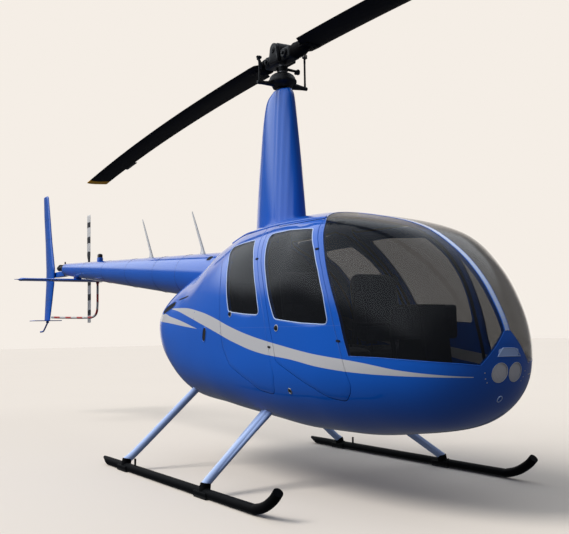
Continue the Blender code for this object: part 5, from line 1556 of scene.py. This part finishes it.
def make_gear():
    """Legs, the fairings on the front ones, and the skids with their feet."""
    for leg, name in ((FRONT_LEG, "front"), (REAR_LEG, "rear")):
        grids = [sweep(leg_path(leg, side, 0.28), circle(0.029, 20)) for side in (-1, 1)]
        # The legs take the pale leg finish: a painted highlight for the sky on the tubes.
        made = piece(f"cross_tube_skin_{name}", grids, "leg",
                     replaces=[f"cross_tube_{name}"])
        made.visible_glossy = False
    fairings = []
    for side in (-1, 1):
        path = leg_path(FRONT_LEG, side, 0.2)
        path = path[(np.abs(path[:, 1]) < 0.93) & (np.abs(path[:, 1]) > 0.40)]
        wide = np.linspace(0.082, 0.125, len(path))
        foil = aerofoil(1.0, 0.34, 0.38, 12)
        fairings.append(sweep(path, foil, False, np.tile((0, 0, 1.0), (len(path), 1)),
                              np.stack([wide * -side, wide], 1)))
    made = piece("leg_fairings", fairings, "leg")
    made.visible_glossy = False
    for side_name, side in SIDES:
        path = smooth_path([(x, side * SKID_Y, z) for x, z in SKID_PATH], 140)
        taper = np.clip((-1.10 - path[:, 0]) / 0.09, 0, 1)
        path[:, 2] += taper * 0.019
        y = side * SKID_Y
        grids = [sweep(path, circle(0.031, 24), scale=np.stack([1 - taper * 0.62] * 2, 1)),
                 rod((-0.545, y, 0.055), (-0.545, y, 0.112), 0.008, None, 0.2, 12)]
        for foot in FEET_X:
            grids.append(brick((foot - 0.09, y - 0.04, 0.0), (foot + 0.09, y + 0.04, 0.045), 0.010))
            grids.append(rod((foot, y, 0.03), (foot, side * 1.008, 0.092), 0.038, 0.035, 0.12, 28))
            for d in (-0.062, 0.062):
                grids.append(rod((foot + d, y, 0.03), (foot + d, y, 0.067), 0.007, count=6))
        piece(f"skid_tube_{side_name}", grids, "skid", replaces=[f"skid_{side_name}"])


LENS_RADII = np.array((0, 0.02, 0.036, 0.0503, 0.0503, 0))[:, None]
LENS_DEPTHS = np.array((0.002, 0.002, 0.002, 0.0035, 0.008, 0.008))[:, None]


def make_lamps():
    """Both landing lamps: a bright bowl, a lens that follows the nose's skin, and a rim."""
    a = np.arange(96) * np.pi / 48
    for side_name, side in SIDES:
        y = side * LAMP_HALF
        bowl = revolve(((0, 0.0), (0.02, 0.03), (0.036, 0.20), (0.044, 0.55), (0.0478, 1.0), (0.0505, 1.0),
                        (0.0508, 0.96), (0.0508, -0.05), (0, -0.05)), (2.125, y, LAMP_Z),
                       (2.196, y, LAMP_Z), 48)
        piece(f"lamp_bowl_{side_name}", bowl, "mirror",
              replaces=[f"landing_lamp_{side_name}"])
        lens_y, lens_z = y + LENS_RADII * np.cos(a), LAMP_Z + LENS_RADII * np.sin(a)
        lens = joined(nose_x(lens_y, lens_z) - LENS_DEPTHS, lens_y, lens_z)
        piece(f"lamp_lens_{side_name}", (lens, False, True), "frost")
        ring = on_nose(y + LAMP_RIM * np.cos(a), LAMP_Z + LAMP_RIM * np.sin(a))
        piece(f"lamp_rim_{side_name}", bead(ring, 0.005, 0.0016), "grey", smooth=60)


# Small things on the skin

def pad_rings(at, size, angle, height, power, count=36):
    """A low pad: superellipses about a place in the side or front view, with the lift of each from the skin.

    Point(u, v) = place + u size (cos v, sin v) on the superellipse of the power, turned by the angle."""
    v = np.arange(count) * 2 * np.pi / count
    c, d = np.cos(v), np.sin(v)
    shape = (np.abs(c) ** power + np.abs(d) ** power) ** (-1 / power)
    flat = np.stack([size[0] / 2 * c * shape, size[1] / 2 * d * shape], 1)
    turn = np.array(((math.cos(angle), math.sin(angle)), (-math.sin(angle), math.cos(angle))))
    rings = np.array([np.asarray(at) + flat @ turn * u for u in (0, 1, 1, 0.94, 0.8, 0.4, 0)])
    lift = height * np.array((-1.0, -1.0, 0.55, 0.92, 1.0, 1.0, 1.0))
    lift[:2] = -0.0015
    return rings, lift


def side_pad(side, at, size, angle=0.0, height=0.003, power=3.5):
    """A pad on the hull's side."""
    rings, lift = pad_rings(at, size, angle, height, power)
    return on_side(rings, side, -np.repeat(lift[:, None], rings.shape[1], 1)), False, True


def nose_pad(at, size, angle=0.0, height=0.003, power=3.5):
    """A pad on the nose."""
    rings, lift = pad_rings(at, size, angle, height, power)
    p = on_nose(rings[..., 0], rings[..., 1])
    return p + skin_normal(p) * lift[:, None, None], False, True


def side_bead(side, at, size, angle=0.0, width=0.006, height=0.0025, power=3.5):
    """A bead on the hull's side along a pad's edge."""
    loop = pad_rings(at, size, angle, 0, power, 64)[0][1]
    return bead(on_side(loop, side), width, height)


def boom_pad(side, x, rise, size, height=0.002, power=4.0):
    """A pad on the boom, placed along x and by the angle up from the side, its sizes along both."""
    rings, lift = pad_rings((x, 0), size, 0.0, height, power)
    r = boom_radius(rings[..., 0])
    turn = math.radians(rise) + rings[..., 1] / r
    r = r + lift[:, None]
    x = rings[..., 0]
    return joined(x, side * r * np.cos(turn), boom_centre(x) + r * np.sin(turn)), False, True


HINGES = ((0.497, 1.552, 0.0), (1.252, 1.553, 0.0), (1.497, 0.989, -0.1), (0.801, 0.950, -0.1))
OPENINGS = (
    ((-0.180, 1.035), (0.098, 0.056), 1.45, 0.0012, 3.0),
    ((-1.065, 1.262), (0.26, 0.050), 0.26, 0.0012, 3.0),
    ((-0.790, 1.335), (0.235, 0.012), 0.10, 0.0012, 3.0), ((0.990, 0.674), (0.020, 0.020), 0.0, 0.0026, 2.0),
)
SCOOP = np.array(((-0.051, 0.941), (0.042, 0.939), (0.091, 0.896), (-0.084, 0.898)))


def make_details():
    """Hinge marks, openings, beads, locks, rivets and screws on the hull's sides and nose."""
    for side_name, side in SIDES:
        marks = [side_pad(side, (x, z), (0.034, 0.013), a, 0.004) for x, z, a in HINGES]
        marks += [side_pad(side, *opening) for opening in OPENINGS]
        marks.append(boom_pad(side, -0.985, 47, (0.085, 0.055), 0.0008))
        # The openings are raised near-black pads, painted shade of the holes; the hinge marks take the same
        # near-black.
        piece(f"skin_openings_{side_name}", marks, "hollow", smooth=50)
        rims = [side_bead(side, (-0.180, 1.035), (0.106, 0.064), 1.45, 0.008, 0.003, 3.0),
                side_bead(side, (-1.065, 1.262), (0.272, 0.060), 0.26, 0.007, 0.003, 3.0),
                boom_pad(side, -0.975, 47, (0.120, 0.080), 0.0004)]
        piece(f"skin_rims_{side_name}", rims, "plain", smooth=50)
        ring = side_bead(side, (0.990, 0.674), (0.032, 0.032), 0.0, 0.008, 0.004, 2.0)
        piece(f"belly_port_{side_name}", ring, "steel", smooth=50)
        for door, x, z in (("front", 0.887, 1.072), ("rear", 0.245, 1.178)):
            at = on_side(np.array((x, z)), side)
            knob = revolve(((0, -0.2), (0.0165, -0.2), (0.0165, 0.16), (0.0135, 0.24), (0.0120, 0.25),
                            (0.0120, 0.85), (0.0095, 1.0), (0, 1.0)), at, at + skin_normal(at) * 0.012, 28)
            piece(f"{door}_door_lock_{side_name}", knob, "black", f"{door}_{side_name}_door", smooth=40)
            ring = side_bead(side, (x, z), (0.040, 0.040), 0.0, 0.005, 0.002, 2.0)
            piece(f"{door}_door_lock_ring_{side_name}", ring, "grey", f"{door}_{side_name}_door", smooth=50)
        rows = [np.stack([0.102 - np.linspace(0, 0.16, 22) ** 2, np.linspace(0.72, 1.70, 22)], 1),
                np.stack([np.full(24, -0.415), np.linspace(0.62, 1.66, 24)], 1),
                evenly(np.insert(smooth_path(SHIELD_REAR, 60) - (0.016, 0), 1, 0, axis=1), 26)[:, ::2]]
        spots = on_side(np.concatenate(rows), side)
        piece(f"skin_rivets_{side_name}", domes(spots, skin_normal(spots), 0.0038, 0.0014), "plain",
              smooth=50)

    # The vent and the nose beads take the pale leg finish: a painted highlight.
    piece("nose_vent", nose_pad((-0.004, 0.918), (0.150, 0.044), 0.0, 0.0015, 5.0), "leg", smooth=50)
    share = np.tile(np.arange(12) / 12, 4)[:, None]
    loop = np.repeat(SCOOP, 12, 0) * (1 - share) + np.repeat(np.roll(SCOOP, -1, 0), 12, 0) * share
    v = np.arange(40) * np.pi / 20
    tow = on_nose(-0.006 + 0.016 * np.cos(v), 0.661 + 0.016 * np.sin(v))
    piece("nose_beads", [bead(on_nose(*loop.T), 0.006, 0.0035), bead(tow, 0.007, 0.005)], "leg", smooth=50)
    spots = np.array([(2.231, -0.154, 0.81), (2.224, -0.145, 0.778), (2.221, -0.131, 0.756)])
    spots = onto_skin(np.concatenate([spots, spots * (1, -1, 1)]))
    piece("nose_screws", domes(spots, skin_normal(spots), 0.0036, 0.0018), "grey", smooth=50)


# Cabin contents

def pad_grid(quad, low, high, rows=26, count=48):
    """A cushion: a superellipsoid whose length and thickness follow a four-cornered side view.

    Point(u, v) = (a, b, c) = (cos u^0.5 cos v^0.35, cos u^0.5 sin v^0.35, sin u^0.6), signs kept, and then
    the side view's corners blended by a and c, and b carried from y low to y high."""
    u = np.linspace(-np.pi / 2, np.pi / 2, rows)[:, None]
    v = (np.arange(count) * 2 * np.pi / count)[None, :]
    ring = np.maximum(np.cos(u), 0) ** 0.5
    a = ring * np.sign(np.cos(v)) * np.abs(np.cos(v)) ** 0.35
    b = ring * np.sign(np.sin(v)) * np.abs(np.sin(v)) ** 0.35
    c = np.sign(np.sin(u)) * np.abs(np.sin(u)) ** 0.6 + 0 * v
    p, q, r, t = (np.array(k)[None, None, :] for k in quad)
    s, w = (1 + a[..., None]) / 2, (1 + c[..., None]) / 2
    flat = (p * (1 - s) + q * s) * (1 - w) + (t * (1 - s) + r * s) * w
    return joined(flat[..., 0], (low + high) / 2 + b * (high - low) / 2, flat[..., 1]), False, True


def inflated(mesh, cap, voxel=0.009):
    """The closed mesh remeshed evenly and blown up by a short Cloth run; no point goes further than cap."""
    thing = placed("pad", mesh)
    step = thing.modifiers.new("even", "REMESH")
    step.mode, step.voxel_size = "VOXEL", voxel
    bpy.context.view_layer.update()
    even = baked(thing)
    bpy.data.objects.remove(thing, do_unlink=True)
    thing = placed("pad", even)
    start = read(even.vertices, "co", 3)
    cloth = thing.modifiers.new("cloth", "CLOTH")
    cloth.settings.quality = 4
    cloth.settings.mass = 0.3
    cloth.settings.tension_stiffness = cloth.settings.compression_stiffness = 12
    cloth.settings.bending_stiffness = 0.4
    cloth.settings.use_pressure = True
    cloth.settings.uniform_pressure_force = 4
    cloth.settings.effector_weights.gravity = 0
    cloth.collision_settings.use_collision = cloth.collision_settings.use_self_collision = False
    for n in range(1, 21):
        bpy.context.scene.frame_set(n)
    blown = baked(thing)
    move = read(blown.vertices, "co", 3) - start
    far = np.maximum(np.linalg.norm(move, axis=1, keepdims=True), 1e-9)
    thing.modifiers.clear()
    even.vertices.foreach_set("co", (start + move * np.minimum(1, cap / far)).ravel())
    even.update()
    bpy.context.scene.frame_set(1)
    bpy.data.meshes.remove(blown)
    fine = thing.modifiers.new("fine", "SUBSURF")
    fine.levels = fine.render_levels = 1
    bpy.context.view_layer.update()
    made = baked(thing)
    bpy.data.objects.remove(thing, do_unlink=True)
    return made


def sewn(mesh, face, along, lines, cross, border):
    """Seams pressed into a pad: across its face at the lines, along it at the cross places, and a border.

    Depth is a sum of bell curves of the distance to each seam."""
    co, normal = read(mesh.vertices, "co", 3), read(mesh.vertex_normals, "vector", 3)
    toward = np.clip((normal @ face - 0.25) / 0.45, 0, 1)
    depth = np.zeros(len(co))
    for at in lines:
        depth += 0.006 * np.exp(-((co @ along - at) / 0.006) ** 2) * toward
    for at in cross:
        depth += 0.006 * np.exp(-((co[:, 1] - at) / 0.006) ** 2) * toward
    rise = co @ face
    depth += 0.004 * np.exp(-((rise - border) / 0.004) ** 2) * np.clip(1 - np.abs(normal @ face) * 1.6, 0, 1)
    mesh.vertices.foreach_set("co", (co - normal * depth[:, None]).ravel())
    mesh.update()
    return mesh


SEATS = (
    ("front", 0.075, 0.515, ((0.745, 0.862), (1.232, 0.862), (1.232, 0.930), (0.745, 0.938)),
     ((0.722, 0.955), (0.660, 1.462), (0.742, 1.462), (0.836, 0.962))),
    ("rear", 0.075, 0.490, ((0.110, 0.862), (0.512, 0.862), (0.512, 0.930), (0.110, 0.938)),
     ((0.060, 0.955), (-0.066, 1.424), (0.002, 1.424), (0.156, 0.962))),
)


def make_seats():
    """Each seat's cushion, back, belt and buckle."""
    for row, low, high, flat, upright in SEATS:
        for side_name, side in SIDES:
            a, b = sorted((side * low, side * high))
            middle = (a + b) / 2
            pad = inflated(built("pad", pad_grid(flat, a + 0.010, b - 0.010)), 0.010)
            x0, x1 = flat[0][0], flat[1][0]
            lines = [x0 + (x1 - x0) * k for k in (0.30, 0.55, 0.80)]
            cross = (middle - 0.14, middle + 0.14)
            pad = sewn(pad, np.array((0, 0, 1.0)), np.array((1.0, 0, 0)), lines, cross, 0.905)
            made = piece(f"{row}_seat_cushion_{side_name}", pad, "cloth",
                         replaces=[f"{row}_seat_{side_name}"])
            back = inflated(built("pad", pad_grid(upright, a + 0.010, b - 0.010)), 0.010)
            foot, head = np.array(upright[3]), np.array(upright[2])
            up = (head - foot) / np.linalg.norm(head - foot)
            along, face = np.array((up[0], 0, up[1])), np.array((up[1], 0, -up[0]))
            span = np.linalg.norm(head - foot)
            at = foot @ up
            back = sewn(back, face, along, [at + span * k for k in (0.18, 0.36, 0.54, 0.72)], cross,
                        foot @ np.array((up[1], -up[0])) - 0.035)
            made = piece(f"{row}_seat_back_{side_name}", back, "cloth")
            outer, inner = side * (high - 0.012), side * (low + 0.014)
            hip = flat[3][0]
            web = np.array(((-0.024, 0.0), (0.024, 0.0), (0.024, 0.0016), (-0.024, 0.0016)))
            lap = smooth_path([(hip + 0.10, outer, 0.895), (hip + 0.13, side * (high - 0.03), 0.955),
                               (hip + 0.22, side * (high - 0.12), 0.966), (hip + 0.24, middle, 0.968),
                               (hip + 0.20, side * (low + 0.09), 0.966)], 60)
            strap = smooth_path([(head[0] - 0.02, outer, head[1] - 0.02),
                                 (head[0] * 0.8 + foot[0] * 0.2 + 0.024, side * (high - 0.10),
                                  head[1] - 0.12),
                                 (head[0] * 0.45 + foot[0] * 0.55 + 0.024, middle,
                                  (head[1] + foot[1]) / 2 - 0.02),
                                 (foot[0] + 0.028, side * (low + 0.10), foot[1] + 0.07),
                                 (foot[0] + 0.07, inner, foot[1] + 0.012)], 80)
            out = np.tile(face + (0.0, 0.0, 0.001), (80, 1))
            straps = [sweep(lap, web, False, np.tile((0, 0, 1.0), (60, 1))), sweep(strap, web, False, out)]
            piece(f"{row}_belt_{side_name}", straps, "belt", smooth=40)
            buckle = [brick((hip + 0.165, inner - 0.022, 0.958), (hip + 0.235, inner + 0.022, 0.982), 0.006),
                      rod((hip + 0.20, inner, 0.90), (hip + 0.20, inner, 0.966), 0.006, None, 0.2, 10)]
            piece(f"{row}_buckle_{side_name}", buckle, "black", smooth=50)


def make_inside():
    """Finishes for the solids in the cabin, and eight instruments on the console."""
    for node, name in (("firewall", "trim"), ("cabin_floor", "carpet"), ("mast_column", "trim"),
                       ("engine_block", "engine"), ("front_seat_base_right", "trim"),
                       ("front_seat_base_left", "trim"), ("rear_seat_base", "trim"), ("console", "black"),
                       ("cyclic_stick", "black")):
        dress(node, name)
    faces, rims, r = [], [], 0.036
    for z in (1.145, 1.05):
        for y in (-0.14, -0.05, 0.05, 0.14):
            faces.append(revolve(((0, 0), (r * 0.9, 0), (r * 0.9, 1), (0, 1)), (1.4994, y, z),
                                 (1.4974, y, z), 32))
            rims.append(revolve(((r * 0.88, 0), (r * 1.06, 0), (r * 1.04, 0.8), (r * 0.96, 1),
                                 (r * 0.88, 0.6)),
                                (1.4994, y, z), (1.4934, y, z), 32, True))
    piece("instrument_faces", faces, "dial", smooth=40)
    piece("instrument_rims", rims, "black", smooth=40)


# Stage

CAMERA = (5.53826885, -3.50734048, 1.05201132)
TURN = (32.28392944, 4.31853979, -0.89137913)
FOCAL_PIXELS = 847.9033343704428
WIDTH_PIXELS = 569
SENSOR = 36
FLOOR_TONES = (0.672, 0.608, 0.540), (0.690, 0.624, 0.554)
BACKDROP = (0.913, 0.855, 0.791)
LOW_SKY, BRIGHT_SKY, HIGH_SKY = (0.10, 0.105, 0.12), (1.34, 1.42, 1.52), (0.62, 0.68, 0.76)
SUN_FROM, SUN_POWER, SUN_WIDTH, SUN_TONE = (-0.30, -0.75, 1.0), 2.3, math.radians(30), (1.0, 0.985, 0.96)


def make_stage():
    """The photograph's camera, a floor, a sky with a bright band, and the sun."""
    yaw, pitch, roll = (math.radians(v) for v in TURN)
    ahead = Vector((-math.cos(yaw) * math.cos(pitch), math.sin(yaw) * math.cos(pitch), math.sin(pitch)))
    right = ahead.cross(Vector((0, 0, 1))).normalized()
    up = right.cross(ahead)
    tilted = right * math.cos(roll) + up * math.sin(roll)
    upright = up * math.cos(roll) - right * math.sin(roll)
    camera = placed("camera", bpy.data.cameras.new("camera"))
    camera.data.sensor_width = SENSOR
    camera.data.lens = FOCAL_PIXELS * SENSOR / WIDTH_PIXELS
    camera.data.clip_end = 200
    turn = Matrix((tilted, upright, -ahead)).transposed().to_4x4()
    camera.matrix_world = Matrix.Translation((CAMERA[0] + MAST_X, CAMERA[1], CAMERA[2])) @ turn
    bpy.context.scene.camera = camera

    s = Sheet("studio floor")
    cloud = s.noise(0.35, 2.0)
    floor = s.done(colour=s.mix(cloud, *FLOOR_TONES), rough=0.9, specular=0.0)
    side = np.linspace(-60, 60, 3)
    grid = joined(side[:, None], side[None, :], -0.0005)
    mesh = bpy.data.meshes.new("floor")
    mesh.from_pydata(grid.reshape(-1, 3).tolist(), [], grid_faces(3, 3)[:, ::-1].tolist())
    mesh.materials.append(floor)
    ground = placed("floor", mesh)
    ground.visible_glossy = ground.visible_diffuse = False

    bpy.context.scene.view_settings.view_transform = "Standard"
    world = bpy.data.worlds.new("studio")
    s = Sheet("studio", world)
    toward = s.node("ShaderNodeTexCoord")

    def facing(aim, low, high):
        """How far a direction turns to the aim, from 0 at one cosine to 1 at the other, eased."""
        near = s.node("ShaderNodeVectorMath", {"operation": "DOT_PRODUCT"},
                      {0: toward, 1: Vector(aim).normalized()}, 1)
        return s.node("ShaderNodeMapRange", {"interpolation_type": "SMOOTHSTEP"},
                      {"Value": near, "From Min": low, "From Max": high})

    horizon = facing((0, -0.25, 1), 0.26, 0.36)
    zenith = facing((0, 0, 1), 0.45, 0.95)
    horizon = horizon * facing((-1, -0.3, 0.9), -0.1, 0.4)
    tone = s.mix(zenith, s.mix(horizon, LOW_SKY, BRIGHT_SKY), HIGH_SKY)
    ground_line = facing((0, 0, 1), -0.12, -0.04)
    tone = s.mix(facing(ahead, 0.80, 0.895) * ground_line, tone, BACKDROP)
    s.feed(world.node_tree.nodes["Background"].inputs["Color"], tone)
    bpy.context.scene.world = world
    sun = bpy.data.lights.new("sun", "SUN")
    sun.energy, sun.angle, sun.color = SUN_POWER, SUN_WIDTH, SUN_TONE
    made = placed("sun", sun)
    made.visible_glossy = False
    made.rotation_euler = Vector(SUN_FROM).to_track_quat("Z", "Y").to_euler()


# Add-on

class HelicopterLook(bpy.types.PropertyGroup):
    """The values that the panel offers."""

    blue: bpy.props.FloatVectorProperty(name="Body blue", description="Colour of the lacquer",
                                        subtype="COLOR", size=3, default=BLUE, min=0, max=1)
    stripe: bpy.props.FloatVectorProperty(name="Stripe grey", description="Colour of the side stripes",
                                          subtype="COLOR", size=3, default=(0.51, 0.50, 0.51), min=0, max=1)
    glass_tint: bpy.props.FloatProperty(name="Glass density",
                                        description="How little each face of a window lets through",
                                        default=0.47, min=0, max=1, subtype="FACTOR")
    tip_band: bpy.props.FloatProperty(name="Tip band start",
                                      description="Radius where the blades' tip colour starts",
                                      default=4.87, min=4, max=5.03, unit="LENGTH")


def operator(idname, label, doc, work):
    """An Operator class with its names, its docstring and an execute that runs one making function."""
    def execute(self, context):
        work()
        return {"FINISHED"}

    return type("HELICOPTER_OT_" + idname, (bpy.types.Operator,), {
        "bl_idname": "helicopter." + idname, "bl_label": label, "__doc__": doc, "execute": execute})


OPERATORS = (
    operator("stage", "Stage", "Camera, floor, world and lights", make_stage),
    operator("cabin", "Cabin and cowl", "The carved hull skins and their seals", make_cabin),
    operator("doors", "Doors", "Door panels, windows and window seals", make_doors),
    operator("windshield", "Windshield", "Windshield halves and the rivets of the bow", make_windshield),
    operator("fairing", "Mast fairing", "The fairing around the mast", make_fairing),
    operator("boom", "Tail boom", "Boom skin, rivets and seams", make_boom),
    operator("tail", "Tail", "Fin, stabiliser, gearbox, guard, antennas and beacon", make_tail),
    operator("tail_rotor", "Tail rotor", "Hub and two banded blades", make_tail_rotor),
    operator("blades", "Main blades", "Two main blades with their grips", make_blades),
    operator("rotor_head", "Rotor head", "Hub, swashplate, links and mast", make_rotor_head),
    operator("gear", "Landing gear", "Cross tubes, fairings and skids", make_gear),
    operator("lamps", "Landing lamps", "Reflectors, lenses and rims", make_lamps),
    operator("details", "Skin details", "Openings, beads, locks, rivets and screws", make_details),
    operator("seats", "Seats", "Cushions, backs and belts of the four seats", make_seats),
    operator("inside", "Cabin contents", "Floor, bulkhead, console and instruments", make_inside),
)


class HELICOPTER_PT_looks(bpy.types.Panel):
    """The panel with the values and a button for each operator."""

    bl_idname = "HELICOPTER_PT_looks"
    bl_label = "Helicopter"
    bl_space_type = "VIEW_3D"
    bl_region_type = "UI"
    bl_category = "Helicopter"

    def draw(self, context):
        for key in ("blue", "stripe", "glass_tint", "tip_band"):
            self.layout.prop(context.scene.helicopter_look, key)
        for made in OPERATORS:
            self.layout.operator(made.bl_idname)


CLASSES = (HelicopterLook, *OPERATORS, HELICOPTER_PT_looks)


def register():
    """Register the classes and the values that they read."""
    for one in CLASSES:
        bpy.utils.register_class(one)
    bpy.types.Scene.helicopter_look = bpy.props.PointerProperty(type=HelicopterLook)


def unregister():
    """Undo what register does."""
    del bpy.types.Scene.helicopter_look
    for one in reversed(CLASSES):
        bpy.utils.unregister_class(one)


def main():
    """Run every operator and write the sizes of the solid model and of the look."""
    register()
    for made in OPERATORS:
        getattr(bpy.ops.helicopter, made.bl_idname.split(".")[1])()


if __name__ == "__main__":
    main()
